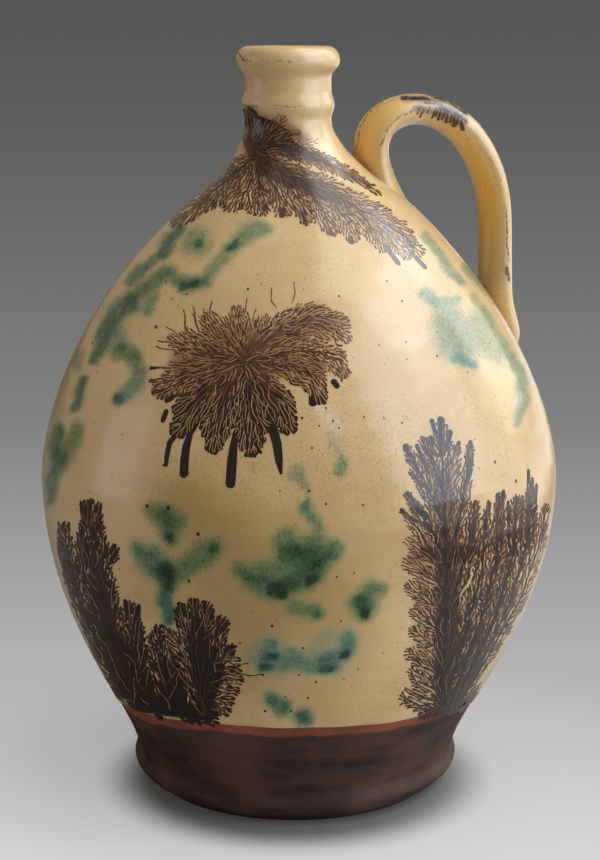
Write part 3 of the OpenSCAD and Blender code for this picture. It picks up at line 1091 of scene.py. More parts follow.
# dendrites, in pixels: each lobe has spine points and half-widths, and how fine its branches are if not 1;
# a drip, a solid patch and a wash have points and half-widths, and a wash its strength
burst = {
    "name": "dendriteBurst",
    "lobes": [
        ([(246, 361), (264, 341), (286, 327), (312, 319), (336, 327), (346, 338)], [7, 12, 16, 17, 14, 5]),
        ([(246, 362), (282, 353), (310, 350), (333, 358), (342, 371)], [7, 11, 12, 13, 8]),
        ([(247, 364), (286, 365), (312, 377), (320, 396)], [6, 12, 14, 7]),
        ([(246, 364), (265, 386), (280, 406), (288, 424)], [8, 14, 15, 8]),
        ([(245, 364), (248, 395), (251, 425), (251, 442)], [8, 14, 16, 12]),
        ([(244, 364), (228, 395), (217, 425), (214, 442)], [8, 14, 15, 9]),
        ([(243, 363), (213, 386), (191, 408), (179, 428)], [8, 15, 16, 8]),
        ([(242, 362), (208, 368), (182, 377), (161, 388)], [8, 15, 17, 9]),
        ([(242, 360), (211, 352), (190, 346), (175, 341)], [8, 15, 15, 7]),
        ([(243, 358), (227, 340), (216, 329), (210, 321)], [8, 14, 14, 10]),
        ([(245, 356), (241, 338), (238, 322), (238, 313)], [8, 13, 12, 7]),
        ([(247, 356), (257, 338), (262, 325)], [8, 12, 10]),
        *alike([1, 1, 1], 0.75,
               [(188, 336), (185, 322), (183.5, 310)], [(199, 332), (195, 318), (192.5, 306)],
               [(206, 326), (204, 318), (203.5, 311)], [(211, 320), (209.5, 311), (212, 301)],
               [(244, 316), (246, 306), (247, 298)], [(252, 322), (254, 315), (256, 309)],
               [(182, 341), (173, 331), (167, 326)], [(178, 348), (168, 342), (158, 340)],
               [(177, 352), (166, 349), (156, 346)]),
        ([(276, 308), (272, 299), (271, 288)], [1, 1, 1], 0.65),
        ([(293, 302), (295, 292), (294, 282)], [1, 1, 1], 0.6),
        ([(338, 326), (345, 329), (351, 328)], [1, 1, 1], 0.7),
        ([(180, 368), (165, 368), (152, 368)], [1, 1, 1]),
        ([(176, 380), (162, 379), (150, 381)], [1, 1, 1]),
    ],
    "drips": [
        ([(188, 424), (178, 432), (169.5, 443), (167, 455), (166, 465)], [4, 5, 5.5, 5, 4]),
        ([(199, 421), (190, 434), (186.5, 446), (184.5, 460), (184, 473)], [4, 6, 8, 8.5, 9]),
        ([(236, 432), (233.5, 447), (232, 462), (230.5, 483)], [6, 8, 10, 10]),
        ([(268, 410), (272.5, 427), (277, 444), (279, 460), (281, 473)], [5, 10, 9.5, 8, 3]),
        ([(215, 438), (215, 445)], [12, 14]),
        ([(240, 439), (249, 444), (258, 444)], [8, 10, 5]),
        ([(171, 397), (167, 400)], [7, 6]),
        ([(164, 391), (162, 394)], [5, 4]),
        ([(156, 368), (151, 368)], [2.5, 3.5]),
        ([(156, 380), (150, 381)], [2.5, 4]),
        ([(166, 465), (163, 465)], [2, 2]),
        ([(166, 412), (163, 420)], [5, 5]),
        ([(311, 397), (313, 402)], [5, 9]),
        ([(334, 382), (337, 386)], [6, 6]),
        ([(262, 418), (266, 424)], [9, 10]),
        ([(284, 428), (287, 433)], [8, 6]),
        ([(285, 408), (289, 413)], [7, 6]),
        ([(258, 392), (256, 398)], [7, 8]),
    ],
    "spread": 0.5,  # how far the branches turn from their spine, in radians
    "spacing": 1.9,
    "slit": 0.03,  # kept open between lobes, in half-widths
    "tipWidth": 1.75,
    "trunkWidth": 3.0,
    "widen": 0.18,  # how fast a branch widens with the tips beyond it
    "lowWidth": 1.4,  # times as wide, low down
    "inkTip": 0.3,
    "inkTrunk": 0.72,
    "inkLow": 0.6,  # more ink, low down
    "veined": 12,  # so many lobes, from the first, have veins
    "veins": {"spacing": 2.5, "tipWidth": 0.66, "trunkWidth": 0.95, "inkTip": -0.08, "inkTrunk": 0.24},
    "lowFrom": 365,
    "lowTo": 425,
    "solid": [
        ([(215, 434), (215, 441)], [5, 7]),
        ([(251, 434), (251, 441)], [6, 8]),
        ([(282, 416), (286, 425)], [4, 5]),
        ([(190, 410), (184, 419)], [3, 4]),
        ([(244, 364), (248, 384)], [9, 5]),
        ([(228, 385), (216, 412), (214, 436)], [5, 7, 7]),
        ([(250, 385), (254, 412), (252, 440)], [6, 8, 8]),
        ([(266, 392), (280, 412)], [5, 6]),
        ([(205, 388), (190, 410)], [4, 5]),
    ],
    "wash": [
        ([(183, 364), (215, 363), (243, 360)], [18, 24, 28], 0.95),
        ([(243, 358), (275, 342), (310, 325), (333, 325)], [26, 22, 17, 11], 0.92),
        ([(243, 362), (285, 361), (318, 366)], [24, 17, 12], 0.9),
        ([(240, 365), (225, 395), (216, 430)], [24, 18, 12], 0.9),
        ([(247, 366), (250, 400), (251, 436)], [22, 16, 12], 0.9),
        ([(256, 368), (275, 400), (286, 422)], [20, 14, 9], 0.9),
        ([(232, 366), (200, 392), (182, 415)], [22, 16, 9], 0.9),
        ([(205, 350), (225, 338), (240, 335), (258, 340)], [14, 16, 16, 14], 0.85),
    ],
    "blob": 0.7,  # how much the tips swell, low down
    "seed": 11,
}
plume = {
    "name": "dendritePlume",
    "lobes": [
        ([(254, 150), (272, 168), (300, 181), (335, 197)], [8, 13, 15, 15]),
        ([(334, 196), (370, 214), (400, 233), (419, 251)], [14, 14, 11, 5], 0.78),
        ([(256, 142), (280, 146), (305, 153), (335, 167), (356, 178), (378, 192)], [8, 11, 10, 7, 5, 2.5]),
        ([(254, 155), (253, 135), (250, 115)], [8, 10, 7], 0.9),
        ([(262, 142), (270, 132), (280, 122)], [8, 11, 7], 0.85),
        ([(270, 147), (282, 140), (297, 135)], [8, 10, 5], 0.85),
        ([(285, 150), (300, 146), (315, 141)], [7, 7, 3], 0.8),
        ([(252, 158), (236, 173), (212, 192), (177, 221)], [9, 13, 14, 6]),
        ([(253, 161), (243, 184), (233, 200)], [9, 13, 12]),
        ([(257, 164), (259, 188), (258, 204)], [9, 13, 12]),
        ([(264, 168), (277, 192), (284, 208)], [9, 12, 10]),
        ([(280, 174), (298, 198), (307, 215)], [8, 13, 9]),
        ([(305, 185), (322, 208), (332, 227)], [9, 13, 9]),
        ([(330, 197), (345, 218), (353, 235)], [9, 12, 8], 0.85),
        ([(358, 210), (375, 232), (383, 246)], [9, 12, 7], 0.75),
        ([(384, 226), (400, 245), (407, 255)], [8, 9, 5], 0.7),
    ],
    "drips": [
        ([(386, 246), (392, 255), (398, 263)], [4, 4.5, 4.5]),
        ([(411, 252), (418, 260), (424, 266)], [4, 4, 4]),
        ([(281, 209), (282, 216)], [6, 6]),
        ([(213, 202), (215, 206)], [4, 5]),
        ([(241, 203), (241, 208)], [4, 5]),
        ([(265, 205), (266, 210)], [4, 5]),
        ([(304, 216), (305, 221)], [4, 4]),
        ([(330, 228), (331, 234)], [4, 5]),
        ([(350, 237), (351, 242)], [4, 5]),
    ],
    "solid": [
        ([(248, 116), (254, 135), (261, 151), (268, 166)], [10, 15, 16, 12]),
        ([(258, 138), (278, 145), (298, 152), (318, 160)], [11, 12, 8, 3]),
        ([(263, 167), (288, 178), (320, 191), (350, 206)], [10, 10, 8, 4]),
        ([(254, 122), (272, 129), (288, 136)], [9, 10, 6]),
    ],
    "wash": [
        ([(250, 116), (256, 140), (262, 165)], [13, 19, 20], 1.0),
        ([(262, 165), (300, 183), (340, 200)], [22, 22, 19], 0.9),
        ([(258, 165), (232, 186), (205, 200)], [18, 17, 10], 0.5),
        ([(262, 168), (268, 196)], [18, 17], 0.5),
        ([(285, 180), (302, 206)], [16, 14], 0.6),
        ([(335, 198), (392, 230), (410, 244)], [20, 16, 8], 0.7),
        ([(265, 142), (300, 151), (330, 165), (366, 184)], [16, 12, 8, 4], 0.9),
        ([(254, 122), (280, 129), (304, 139)], [13, 15, 9], 0.95),
    ],
    "blob": 0.5,
    "spread": 0.55,
    "spacing": 1.9,
    "slit": 0.03,
    "tipWidth": 1.35,
    "trunkWidth": 2.6,
    "widen": 0.16,
    "lowWidth": 1.0,
    "inkTip": 0.28,
    "inkTrunk": 0.8,
    "inkLow": 0.2,
    "veined": 16,
    "veins": {"spacing": 3.2, "tipWidth": 0.5, "trunkWidth": 0.62, "inkTip": 0.07, "inkTrunk": 0.5},
    "lowFrom": 140,
    "lowTo": 220,
    "seed": 23,
}
leftTrees = {
    "name": "dendriteTreesLeft",
    "lobes": [
        ([(134, 703), (109, 635), (97, 582), (92, 540), (91, 509)], [14, 17, 18, 15, 9]),
        ([(106, 569), (112, 556), (115, 549)], [4, 6, 4]),
        ([(119, 690), (83, 613), (67.5, 559), (64, 529)], [7, 7, 8, 6]),
        ([(116, 684), (90.5, 634), (70.5, 594)], [2, 2, 1.5]),
        ([(150, 708), (133, 643), (130, 620), (129.5, 610)], [12, 12, 11, 8]),
        ([(171, 712), (161, 658), (158.5, 640), (157, 629)], [13, 13, 10, 4]),
        ([(203, 716), (197, 690), (188, 662), (176, 642), (164, 629)], [7, 12, 12, 8, 3], 0.85),
        ([(203, 716), (198, 680), (190, 648), (182, 612)], [5, 8, 10, 7]),
        ([(203, 716), (200, 678), (196, 645), (194, 606)], [5, 8, 10, 7]),
        ([(204, 716), (203, 676), (204, 642), (206, 609)], [5, 8, 10, 7]),
        ([(204, 716), (206, 680), (213, 650), (221, 624)], [5, 9, 11, 8]),
        ([(205, 716), (209, 690), (220, 664), (230, 649)], [5, 9, 11, 6]),
        *alike([6, 6, 5], 0.78,
               [(207, 709), (217, 707), (225, 710)], [(208, 701), (219, 698), (229, 700)],
               [(209, 692), (222, 688), (234, 690)], [(211, 682), (226, 678), (238, 681)],
               [(214, 672), (228, 668), (236, 671)], [(217, 663), (229, 659), (235, 661)]),
        ([(112, 688), (150, 708), (212, 719)], [7, 9, 6]),
        ([(236, 664), (247, 664)], [1, 1], 0.5),
        ([(234, 674), (249, 675), (262, 675)], [1, 1, 1], 0.5),
        ([(230, 683), (241, 685)], [1, 1], 0.5),
    ],
    "drips": [
        ([(82, 512), (81, 503)], [4, 3]),
        ([(90, 512), (91, 503)], [4, 3]),
        ([(99, 514), (101, 505)], [4, 3]),
        ([(128, 612), (126, 602)], [5, 4]),
        ([(138, 612), (139, 606)], [5, 4]),
        ([(195, 612), (194, 601)], [6, 6]),
        ([(203, 612), (204, 603)], [5, 6]),
        ([(210, 617), (213, 610)], [5, 5]),
        ([(219, 628), (225, 621)], [6, 5]),
        ([(226, 650), (233, 647)], [6, 5]),
        ([(183, 614), (180, 605)], [6, 6]),
    ],
    "solid": [
        ([(140, 700), (112, 640), (99, 590), (95, 550)], [15, 11, 9, 5]),
        ([(118, 688), (150, 704), (208, 715)], [7, 11, 8]),
        ([(146, 690), (136, 650), (131, 625)], [9, 7, 4]),
        ([(170, 700), (162, 660)], [9, 6]),
        ([(182, 704), (181, 684), (176, 662)], [6, 7, 4]),
        ([(204, 710), (202, 680), (201, 650), (201, 628)], [6, 9, 13, 12]),
        ([(206, 708), (212, 690), (219, 668)], [6, 7, 6]),
    ],
    "wash": [
        ([(205, 705), (204, 670), (202, 630)], [12, 18, 18], 0.7),
        ([(212, 700), (220, 675)], [8, 9], 0.6),
    ],
    "blob": 0.3,
    "spread": 0.5,
    "spacing": 1.9,
    "slit": 0.09,
    "tipWidth": 2.2,
    "trunkWidth": 4.5,
    "widen": 0.14,
    "lowWidth": 1.0,
    "inkTip": 0.66,
    "inkTrunk": 1.0,
    "inkLow": 0.1,
    "veined": 18,
    "veins": {"spacing": 4.4, "tipWidth": 0.45, "trunkWidth": 0.6, "inkTip": 0.04, "inkTrunk": 0.45},
    "lowFrom": 600,
    "lowTo": 700,
    "seed": 37,
}
rightTrees = {
    "name": "dendriteTreesRight",
    "lobes": [
        ([(439, 710), (444, 653), (446, 605), (446, 546), (443, 488), (441.5, 430)], [13, 18, 20, 21, 19, 7]),
        ([(442, 520), (424, 480), (408, 450)], [8, 10, 4]),
        ([(443, 490), (430, 457), (424, 442)], [6, 9, 5]),
        ([(444, 500), (452, 464), (458, 446)], [6, 9, 3]),
        ([(443, 550), (424, 520), (408, 496)], [8, 9, 4]),
        ([(444, 575), (422, 535), (403, 512)], [8, 8, 3], 0.75),
        ([(455, 540), (465, 490), (470, 448)], [8, 6, 4]),
        ([(456, 590), (470, 540), (475, 506)], [9, 10, 5]),
        ([(442, 712), (464, 640), (481, 575), (488, 506)], [10, 13, 8, 3]),
        ([(448, 710), (480, 625), (496, 560), (501, 498)], [10, 13, 9, 5]),
        ([(454, 706), (495, 620), (513, 555), (518, 503)], [9, 12, 10, 7]),
        ([(462, 700), (508, 608), (527, 545), (531, 490)], [8, 10, 10, 5]),
        ([(472, 684), (520, 600), (539, 545), (546, 508)], [6, 6, 7, 4], 0.7),
        ([(440, 707), (424, 703), (409, 697)], [10, 12, 9], 0.8),
        *alike([8, 11, 7], 0.78,
               [(438, 692), (424, 682), (415, 674)], [(438, 674), (424, 662), (412, 654)],
               [(440, 654), (427, 640), (416, 632)], [(440, 632), (427, 620), (417, 612)],
               [(441, 608), (424, 596), (411, 588)], [(442, 586), (424, 574), (409, 564)]),
        ([(442, 564), (424, 552), (410, 543)], [8, 10, 6], 0.78),
        ([(424, 714), (450, 711), (476, 694)], [5, 7, 5]),
    ],
    "drips": [
        ([(437, 440), (432, 421)], [3, 4.5]),
        ([(442, 450), (441, 421)], [4, 7.5]),
        ([(446, 450), (450, 433)], [3, 5.5]),
        ([(454, 458), (459, 443)], [3, 4]),
        ([(467, 484), (470, 465), (470.5, 443)], [4, 7, 5]),
        ([(433, 454), (431, 438)], [3, 5]),
        ([(428, 456), (424, 439)], [3, 4]),
        ([(429, 473), (423, 459), (417, 446)], [3, 4, 4]),
        ([(417, 470), (411, 456), (406, 447)], [3, 5, 6.5]),
        ([(419, 472), (407, 460)], [3, 4]),
        ([(425, 487), (410, 473)], [3, 4]),
        ([(427, 518), (415, 505), (407, 494)], [3, 5, 5]),
        ([(429, 526), (409, 517.5), (402, 510)], [3, 4, 5]),
        ([(473, 540), (476, 518), (475.5, 503)], [3, 6, 5]),
        ([(483, 540), (486.5, 519.5), (488.5, 502)], [2, 4, 3]),
        ([(497, 556), (498.5, 518), (497.5, 496)], [2, 5, 4]),
        ([(501, 548), (503.5, 492)], [2, 3.5]),
        ([(509, 546), (508, 503)], [2, 3]),
        ([(514, 550), (516.5, 499)], [2, 3.5]),
        ([(521, 544), (522, 498)], [2, 3.5]),
        ([(529, 548), (529, 493), (528.5, 472)], [2, 4.5, 3]),
        ([(532, 520), (532.5, 480)], [2, 3]),
        ([(534, 530), (536.5, 487)], [2, 3]),
        ([(542, 540), (545.5, 507)], [2, 2.5]),
    ],
    "solid": [
        ([(443, 700), (446, 650), (448, 605), (447, 560), (446, 530)], [9, 12, 13, 10, 5]),
        ([(426, 715), (452, 712), (472, 697)], [6, 8, 5]),
        ([(458, 698), (472, 660), (482, 625)], [7, 7, 4]),
        # a dark band below where the glaze mirrors the window: partly the ink's own dark, partly painted
        # shade
        ([(424, 552), (448, 556), (472, 551)], [5, 13, 6]),
    ],
    "wash": [
        ([(446, 690), (446, 620), (446, 540), (444, 480)], [18, 22, 22, 16], 0.82),
        ([(462, 690), (486, 620), (506, 552), (514, 515)], [14, 20, 22, 14], 0.42),
        ([(424, 692), (424, 560)], [12, 12], 0.45),
        # the same band, washed: partly the ink's own dark, partly painted shade
        ([(414, 560), (440, 552), (476, 546)], [10, 26, 16], 0.85),
        ([(492, 542), (512, 535)], [16, 14], 0.6),
    ],
    "blob": 0.3,
    "spread": 0.42,
    "spacing": 2.05,
    "step": 0.96,  # longer than the others', as this is the largest of them
    "slit": 0.07,
    "tipWidth": 1.75,
    "trunkWidth": 3.0,
    "widen": 0.14,
    "lowWidth": 1.0,
    "inkTip": 0.5,
    "inkTrunk": 0.98,
    "inkLow": 0.1,
    "veined": 21,
    "veins": {"spacing": 3.6, "tipWidth": 0.5, "trunkWidth": 0.65, "inkTip": 0.06, "inkTrunk": 0.7},
    "lowFrom": 560,
    "lowTo": 700,
    "seed": 41,
}

growth = {
    "cell": 0.5,  # pixels, of the map that the branches are steered by
    "margin": 8,
    "blurs": 5,
    "widestTurn": 1.2,
    "slitFrom": 0.45,
    "step": 0.9,
    "join": 1.1,
    "sways": [(0.5, 0.31), (0.4, 0.17)],
    "wander": 0.27,
    "keepsBend": 0.85,
    "longest": 160,
    "shortest": 4,
    "seedsPerSpace": 5.0,
    "backReach": 1.3,
    "endReach": (0.86, 1.14),
    "stopShort": 2,
    "evenings": 2,
    "knobbly": 0.3,
    "knobLong": 3,
    "knobLimits": (0.6, 1.5),
    "knobSeed": 7,
    "inkRise": 1.6,
    "finePale": 0.4,
    "blobLong": 3,
    "backSeed": 100,
}


def flowMap(plan):
    lobes = plan["lobes"]
    spread = np.concatenate([np.array(lobe[0], float) for lobe in lobes])
    most = max(max(lobe[1]) for lobe in lobes) + growth["margin"]
    low, high = spread.min(axis=0) - most, spread.max(axis=0) + most
    columns, rows = np.ceil((high - low) / growth["cell"]).astype(int)
    down, across = np.mgrid[0:rows, 0:columns]
    pixels = low + growth["cell"] * (np.stack([across, down], axis=-1).reshape(-1, 2) + 0.5)
    best, second = np.full(len(pixels), np.inf), np.full(len(pixels), np.inf)
    flow = np.zeros(pixels.shape)
    fine = np.ones(len(pixels))
    for spine, halves, *finer in lobes:
        spine = np.array(spine, float)
        mine = np.full(len(pixels), np.inf)
        course = np.zeros(pixels.shape)
        for a, b, ha, hb in zip(spine, spine[1:], halves, halves[1:]):
            t = np.clip((pixels - a) @ (b - a) / ((b - a) @ (b - a)), 0, 1)
            off = pixels - a - t[:, None] * (b - a)
            gap = np.linalg.norm(off, axis=1)
            here = gap / (ha + (hb - ha) * t)
            nearer = here < mine
            turn = (plan["spread"] * np.minimum(here[nearer], growth["widestTurn"]))[:, None]
            along = (b - a) / np.linalg.norm(b - a)
            away = off[nearer] / np.maximum(gap[nearer, None], 1e-6)
            course[nearer] = along * np.cos(turn) + away * np.sin(turn)
            mine = np.minimum(mine, here)
        nearer = mine < best
        second = np.where(nearer, best, np.minimum(second, mine))
        flow[nearer] = course[nearer]
        fine[nearer] = finer[0] if finer else 1.0
        best = np.minimum(best, mine)
    flow = flow.reshape(rows, columns, 2)
    for blur in range(growth["blurs"]):
        around = [np.roll(flow, shift, axis) for axis in (0, 1) for shift in (1, -1)]
        flow = sum(around, flow) / (len(around) + 1)
    flow /= np.maximum(np.linalg.norm(flow, axis=2, keepdims=True), 1e-6)
    blocked = (second - best < plan["slit"]) & (best > growth["slitFrom"])
    best, blocked, fine = [values.reshape(rows, columns) for values in (best, blocked, fine)]
    return low, best, flow, blocked, fine


def discMask(radius):
    wide = int(math.ceil(radius))
    down, across = np.mgrid[-wide:wide + 1, -wide:wide + 1]
    return wide, down**2 + across**2 <= radius**2


def traceBranches(plan, draw):
    low, reach, flow, blocked, fine = flowMap(plan)
    cell, step = growth["cell"], plan.get("step", growth["step"])
    owner = np.full(reach.shape, -1)
    taken = np.zeros(reach.shape, bool)
    joinWide, joinDisc = discMask(growth["join"] / cell)
    spaceWide, spaceDisc = discMask(plan["spacing"] / cell)
    spots, parents = [], []

    def cellOf(x, y):
        return int((y - low[1]) / cell), int((x - low[0]) / cell)

    def layChain(chain, parent):
        for x, y in chain:
            spots.append((x, y))
            parents.append(parent)
            parent = len(spots) - 1
            row, column = cellOf(x, y)
            near = owner[row - joinWide:row + joinWide + 1, column - joinWide:column + joinWide + 1]
            near[joinDisc & (near < 0)] = parent
            taken[row - spaceWide:row + spaceWide + 1, column - spaceWide:column + spaceWide + 1] |= spaceDisc

    def follow(x, y, sign, limit):
        trail, wander = [], 0.0
        for bend in draw.normal(0, growth["wander"], growth["longest"]):
            row, column = cellOf(x, y)
            if owner[row, column] >= 0:
                return trail, int(owner[row, column])
            if reach[row, column] > limit or blocked[row, column] and sign > 0:
                return trail, -1
            wander = growth["keepsBend"] * wander + bend
            fx, fy = flow[row, column]
            x += sign * step * (fx - wander * fy)
            y += sign * step * (fy + wander * fx)
            trail.append((x, y))
        return trail, -1

    for spine, halves, *finer in plan["lobes"]:
        spine = np.array(spine, float)
        run = runLengths(spine)
        at = np.arange(0, run[-1], step)
        sway = sum(size * np.sin(at * rate + draw.uniform(0, 6)) for size, rate in growth["sways"])
        chain = pointsAlong(spine, run, at) + np.stack([sway, -sway], axis=1)
        row, column = cellOf(*chain[0])
        layChain(chain.tolist(), int(owner[row, column]))
    inside = np.argwhere((reach < 1.0) & ~blocked)
    seeds = int(len(inside) * cell**2 / plan["spacing"] ** 2 * growth["seedsPerSpace"])
    for row, column in inside[draw.integers(0, len(inside), seeds)]:
        if taken[row, column]:
            continue
        x, y = low[0] + (column + 0.5) * cell, low[1] + (row + 0.5) * cell
        back, trunk = follow(x, y, -1, growth["backReach"])
        if trunk < 0:
            continue
        onward, met = follow(x, y, 1, draw.uniform(*growth["endReach"]))
        if met >= 0:
            onward = onward[:-growth["stopShort"]]
        chain = back[::-1] + [(x, y)] + onward
        if len(chain) >= growth["shortest"]:
            layChain(chain, trunk)
    rows, columns = zip(*[cellOf(x, y) for x, y in spots])
    return np.array(spots), parents, fine[rows, columns]


def branchPaths(spots, parents, fine, plan):
    count = len(spots)
    tips = np.zeros(count)
    children = [[] for spot in range(count)]
    for spot in range(count - 1, -1, -1):
        tips[spot] = max(tips[spot], 1)
        if parents[spot] >= 0:
            tips[parents[spot]] += tips[spot]
            children[parents[spot]].append(spot)
    heirs = [max(family, key=lambda child: tips[child]) if family else -1 for family in children]
    before, after = np.array(parents), np.array(heirs)
    between = (before >= 0) & (after >= 0)
    for turn in range(growth["evenings"]):
        middle = (spots[before[between]] + spots[after[between]]) / 2
        spots = spots.copy()
        spots[between] = 0.5 * spots[between] + 0.5 * middle
    low = softStep(spots[:, 1], plan["lowFrom"], plan["lowTo"])
    width = np.minimum(plan["tipWidth"] * tips ** plan["widen"], plan["trunkWidth"])
    knobs = np.random.default_rng(plan["seed"] + growth["knobSeed"]).normal(0, 1, count)
    knobs = np.convolve(knobs, np.ones(growth["knobLong"]) / growth["knobLong"], "same")
    knobs = np.clip(1 + growth["knobbly"] * knobs, *growth["knobLimits"])
    width = width * (1 + (plan["lowWidth"] - 1) * low) * fine * knobs
    weight = np.log(tips) / max(np.log(tips.max()), 1e-6)
    weight = np.minimum(weight * growth["inkRise"], 1)
    ink = plan["inkTip"] + (plan["inkTrunk"] - plan["inkTip"]) * weight + plan["inkLow"] * low
    ink = ink - growth["finePale"] * (1 - fine)
    paths = []
    for spot in range(count):
        parent = parents[spot]
        if parent >= 0 and heirs[parent] == spot:
            continue
        chain = [parent] if parent >= 0 else []
        while spot >= 0:
            chain.append(spot)
            spot = heirs[spot]
        if len(chain) > 2:
            widths = width[chain]
            widths[0] = min(widths[0], widths[1])
            widths[-growth["blobLong"]:] *= 1 + plan["blob"] * low[chain[-1]]
            paths.append((spots[chain], widths, ink[chain]))
    return paths


drip = {"fewest": 4, "swell": 0.08, "swellRate": 1.9}


def dripPaths(plan):
    paths = []
    for spine, wide in plan["drips"]:
        spine = np.array(spine, float)
        run = runLengths(spine)
        at = np.linspace(0, run[-1], max(drip["fewest"], int(run[-1])))
        swell = 1 + drip["swell"] * np.sin(drip["swellRate"] * at + spine[0, 0])
        paths.append((pointsAlong(spine, run, at), np.interp(at, run, wide) * swell, np.ones(len(at))))
    return paths


# metres; crossing branches lie at lifts of their own, so none flickers through another
ribbon = {
    "edgeLift": 0.00003,
    "middleLift": 0.00004,
    "lifts": 5,
    "liftStep": 0.000012,
    "thick": 0.0001,
    "feeler": 0.001,
    "caps": [0.98, 0.8, 0.5],
}


def roundTips(points, widths, inks):
    caps = np.array(ribbon["caps"])
    for end in range(2):
        points, widths, inks = points[::-1], widths[::-1], inks[::-1]
        off = points[0] - points[1]
        off /= max(np.linalg.norm(off), 1e-9)
        points = np.concatenate([points[0] + off * caps[:, None] * widths[0] / 2, points])
        widths = np.concatenate([widths[0] * np.sqrt(1 - caps**2), widths])
        inks = np.concatenate([np.full(len(caps), inks[0]), inks])
    return points, widths, inks


def layRibbons(name, paths, lay, normals):
    rounded = [roundTips(*path) for path in paths]
    points, widths, inks = [np.concatenate(column) for column in zip(*rounded)]
    owner = np.concatenate([np.full(len(path[0]), number) for number, path in enumerate(rounded)])
    linked = owner[1:] == owner[:-1]
    onward = np.where(linked[:, None], points[1:] - points[:-1], 0)
    heading = np.zeros(points.shape)
    heading[:-1] += onward
    heading[1:] += onward
    side = np.cross(normals(points), heading)
    side /= np.maximum(np.linalg.norm(side, axis=1, keepdims=True), 1e-12)
    raised = ribbon["liftStep"] * (owner % ribbon["lifts"])
    middle = lay(points, ribbon["middleLift"] + raised)
    edges = [lay(points + sign * side * widths[:, None] / 2, ribbon["edgeLift"] + raised) for sign in (1, -1)]
    bm = bmesh.new()
    order = bm.verts.layers.int.new("order")
    spine = []
    for number, point in enumerate(middle):
        vert = bm.verts.new(point)
        vert[order] = number
        spine.append(vert)
    wires = [bm.edges.new((spine[i], spine[i + 1])) for i in np.flatnonzero(linked)]
    for edge in edges:
        for item in bmesh.ops.extrude_edge_only(bm, edges=wires)["geom"]:
            if isinstance(item, bmesh.types.BMVert):
                item.co = edge[item[order]]
    bm.normal_update()
    facing = lay(points, ribbon["feeler"]) - lay(points, 0.0)
    turned = [face for face in bm.faces if np.dot(face.normal, facing[face.verts[0][order]]) < 0]
    bmesh.ops.reverse_faces(bm, faces=turned)
    for edge in bm.edges:
        edge.smooth = not edge.is_boundary
    rank = np.array([vert[order] for vert in bm.verts])
    piece = addPiece(bm, name, dendriteInk)
    writeAttribute(piece.data, "ink", inks[rank])
    piece.data.attributes.remove(piece.data.attributes["order"])
    solid = piece.modifiers.new("thickness", "SOLIDIFY")
    solid.thickness = ribbon["thick"]
    solid.offset = -1


def layOnGlaze(points, lift):
    theta, z = wallAngles(points)
    return glazePoints(theta, z, lift)


def normalsOnGlaze(points):
    return glazeNormals(*wallAngles(points))


def turnPoints(points, turn):
    if not turn:
        return points
    theta, z = wallAngles(points)
    return glazePoints(theta + turn, z)


def growDendrite(plan):
    draw = np.random.default_rng(plan["seed"])
    spots, parents, fine = traceBranches(plan, draw)
    paths = branchPaths(spots, parents, fine, plan) + dripPaths(plan)
    print(plan["name"], len(spots), "steps,", len(paths), "branches")
    return paths


# how wide a pixel is laid on the slanting wall, against one that faces the lens
stretchLimits = (0.8, 3.2)


def pathsOnGlaze(paths, turn):
    pixels = np.concatenate([path[0] for path in paths])
    across = np.concatenate([np.gradient(path[0], axis=0)[:, ::-1] * [1, -1] for path in paths])
    across /= np.maximum(np.linalg.norm(across, axis=1, keepdims=True), 1e-6)
    points, hit = castOnGlaze(pixels)
    nearSide, nearHit = castOnGlaze(pixels + across / 2)
    farSide, farHit = castOnGlaze(pixels - across / 2)
    nominal = lookOut["distance"] / lookOut["focalPixels"]
    least, most = [limit * nominal for limit in stretchLimits]
    pixelSize = np.clip(np.linalg.norm(nearSide - farSide, axis=1), least, most)
    pixelSize[~(nearHit & farHit)] = nominal
    points = turnPoints(points, turn)
    laid, first = [], 0
    for trail, widths, inks in paths:
        last = first + len(trail)
        kept = hit[first:last]
        if kept.sum() > 1:
            laid.append((points[first:last][kept], (widths * pixelSize[first:last])[kept], inks[kept]))
        first = last
    return laid


# the far side isn't in the picture, so it gets the same kind of painting the other way round
def mirrored(plan):
    def flip(strokes):
        return [([(paintMiddle * 2 - x, y) for x, y in spine], *rest) for spine, *rest in strokes]

    flipped = {part: flip(plan[part]) for part in ("lobes", "drips", "solid", "wash")}
    return plan | flipped | {"name": plan["name"] + "Back", "seed": plan["seed"] + growth["backSeed"]}


# the slip shows through as fine veins, laid above the branches: metres, pixels
vein = {"lift": 0.00007, "step": 1.7, "seed": 50}


def veinPlan(plan):
    plain = {"drips": [], "lowWidth": 1.0, "inkLow": 0.0, "blob": 0.0, "step": vein["step"]}
    named = {"name": plan["name"] + "Veins", "seed": plan["seed"] + vein["seed"]}
    return plan | plan["veins"] | plain | named | {"lobes": plan["lobes"][:plan["veined"]]}


def layAboveInk(points, lift):
    return layOnGlaze(points, lift + vein["lift"])


def layDendrite(plan, turn):
    for part, lay in ((plan, layOnGlaze), (veinPlan(plan), layAboveInk)):
        layRibbons(part["name"], pathsOnGlaze(growDendrite(part), turn), lay, normalsOnGlaze)
    return soakBody(plan["solid"], fades["stain"], turn), soakBody(plan["wash"], fades["wash"], turn)


dendrites = (burst, plume, leftTrees, rightTrees)
soaks = [layDendrite(plan, 0.0) for plan in dendrites]
soaks += [layDendrite(mirrored(plan), math.pi) for plan in dendrites]
for layer, parts in zip(("stain", "wash"), zip(*soaks)):
    writeAttribute(slipBody.data, layer, np.max(parts, axis=0))
print("dendrites laid")


